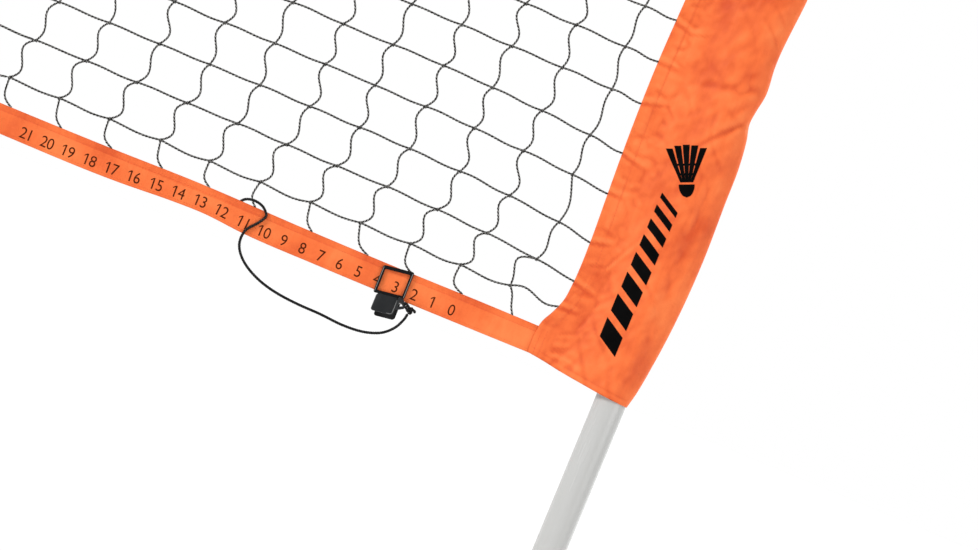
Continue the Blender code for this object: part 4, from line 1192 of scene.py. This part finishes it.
def clip_half(way, jaw_outlines, pad, ear_across):
    """Jaw plate, and finger pad with ears, of one half of the clip. Way is -1 in front and 1 behind."""
    jaw = along_tape(jaw_outlines, CLIP_FAR - CLIP_NEAR, 0.55, way, (CLIP_NEAR + CLIP_FAR) / 2)
    shapes = [along_tape([rounded_box(*pad, 2.6)], 2.0, 0.6, way, pad_depth)]
    ring = [(3.2 * math.cos(math.radians(angle)), CLIP_PIN_UP + 3.2 * math.sin(math.radians(angle)))
            for angle in range(150, -100, -25)]
    outline = ([(-y, up) for y, up in ring]
               + [(4.4, -25.5), (5.6, -25.5), (3.4, -15.2), (3.0, -12.8), (1.6, -12.8)])
    for across in ear_across:
        points, faces = flat_plate([outline], 1.9, 0.35)
        shapes.append(on_clip(faces, points[:, 2] + across, way * points[:, 0], points[:, 1]))
    return jaw, shapes


def clip_ridges():
    """Raised beads up both sides of the window and down one side of the front pad, whose light grey paints
    the highlight lines along these edges.
    """
    shapes = [along_tape([rounded_box((left, -13.0), (left + 0.6, 11.2), 0.28)], 0.7, 0.2, -1, CLIP_FAR + 0.1)
              for left in (-14.9, 12.75)]
    (_, low), (side, high) = FRONT_PAD
    outer = [(-6.0, 0.6), (-2.8, 0.6), (-1.4, 1.2), (-0.6, 2.6)]
    inner = [(-1.15, 2.7), (-1.75, 1.6), (-2.9, 1.1), (-6.0, 1.0)]
    outline = [(side + x, low + up) for x, up in outer]
    outline += [(side - 0.6, high - 2.4), (side - 1.15, high - 2.4)]
    outline += [(side + x, low + up) for x, up in inner]
    return shapes + [along_tape([outline], 0.7, 0.2, -1, lambda up: pad_depth(up) + 1.05)]


def make_scorers():
    """Window clip in front of the tape and plain jaw behind it."""
    window = [rounded_box((-15.6, -14.6), (14.1, 12.7), 2.2), rounded_box((-12.7, -11.6), (11.2, 9.3), 0.9)]
    bars, front = clip_half(-1, window, FRONT_PAD, (-8.0, 9.9))
    lug = [(9.0, -13.4), (11.4, -12.8), (14.0, -14.4), (17.6, -20.0), (17.4, -22.8), (13.4, -24.6),
           (9.0, -25.6)]
    hole = [(11.0, -16.0), (15.2, -20.6), (11.0, -22.2)]
    front.append(along_tape([lug, hole], 1.9, 0.4, 1, -4.9))
    plate = [rounded_box((-11.5, -14.5), (11.5, 11.0), 2.2)]
    jaw, behind = clip_half(1, plate, ((-7.8, -35.8), (12.4, -12.2)), (-4.6, 6.6))
    for name, shape, material in (("right_scorer_window", bars, SCORER_BAR_SHADED),
                                  ("right_scorer_pad", joined(front), SCORER_PLASTIC),
                                  ("right_scorer_highlight_beads", joined(clip_ridges()), SCORER_HIGHLIGHT)):
        fasten_both(new_piece(name, shape, material), "SIDE_scorer", "scorer_black", "SIDE_scorer_frame")
    back = new_piece("right_scorer_back", joined([jaw] + behind), SCORER_SHADE)
    fasten_both(back, "SIDE_scorer_jaw", "scorer_black", "SIDE_scorer_jaw")


# ---------------------------------------------------------------- hard pieces

SLOT_MATERIALS = {
    "orange_fabric": FABRIC, "net_twine": TWINE, "tether_cord": CORD, "pole_grey": POLE_PAINT,
    "base_tube": POWDER_COAT, "moulded_black": NYLON, "scorer_black": SCORER_PLASTIC, "rubber": RUBBER,
    "zinc_steel": ZINC,
}
EDGE_ROUNDING = {"scorer_black": 0.45, "moulded_black": 1.0, "rubber": 2.0, "zinc_steel": 0.3,
                 "pole_grey": 0.4, "base_tube": 0.4}


def smooth_round_faces():
    """Node group that drops the faceted normals and shades smooth across edges under 32 degrees."""
    group = bpy.data.node_groups.new("smooth_round_faces", "GeometryNodeTree")
    for way in ("INPUT", "OUTPUT"):
        group.interface.new_socket("Geometry", in_out=way, socket_type="NodeSocketGeometry")
    start, plain, faces, edges, end, angle, small = (group.nodes.new(kind) for kind in (
        "NodeGroupInput", "GeometryNodeRemoveAttribute", "GeometryNodeSetShadeSmooth",
        "GeometryNodeSetShadeSmooth", "NodeGroupOutput", "GeometryNodeInputMeshEdgeAngle",
        "FunctionNodeCompare"))
    plain.inputs["Name"].default_value = "custom_normal"
    edges.domain = "EDGE"
    small.operation = "LESS_THAN"
    small.inputs["B"].default_value = math.radians(32)
    for first, second in ((start, plain), (plain, faces), (faces, edges), (edges, end)):
        group.links.new(first.outputs["Geometry"], second.inputs["Geometry"])
    group.links.new(angle.outputs["Unsigned Angle"], small.inputs["A"])
    group.links.new(small.outputs["Result"], edges.inputs["Shade Smooth"])
    return group


def finish_hard_pieces():
    """Materials, smooth shading and softened edges of the CAD pieces that stay as they are."""
    smoothing = smooth_round_faces()
    for part in frame["record"]["subparts"]:
        shown = frame["nodes"][part["node"]]
        if shown.hide_render:
            continue
        made = SLOT_MATERIALS[part["material_slot"]]
        if not shown.material_slots:
            shown.data.materials.append(made)
        for slot in shown.material_slots:
            slot.material = made
        weld = shown.modifiers.new("weld", "WELD")
        weld.merge_threshold = 0.01 * MM
        flats = shown.modifiers.new("flats", "DECIMATE")
        flats.decimate_type = "DISSOLVE"
        flats.angle_limit = math.radians(1)
        shown.modifiers.new("shading", "NODES").node_group = smoothing
        edge = shown.modifiers.new("edges", "BEVEL")
        edge.width = EDGE_ROUNDING[part["material_slot"]] * MM
        edge.segments = 2
        edge.limit_method = "ANGLE"
        edge.angle_limit = math.radians(40)
        edge.harden_normals = True


make_camera()
make_light()
make_floor()
make_tethers()
sleeve_surface = make_sleeve()
make_sleeve_stitches()
make_sleeve_print(sleeve_surface)
make_tapes()
make_digits()
make_net()
make_head_cord()
make_scorers()
finish_hard_pieces()
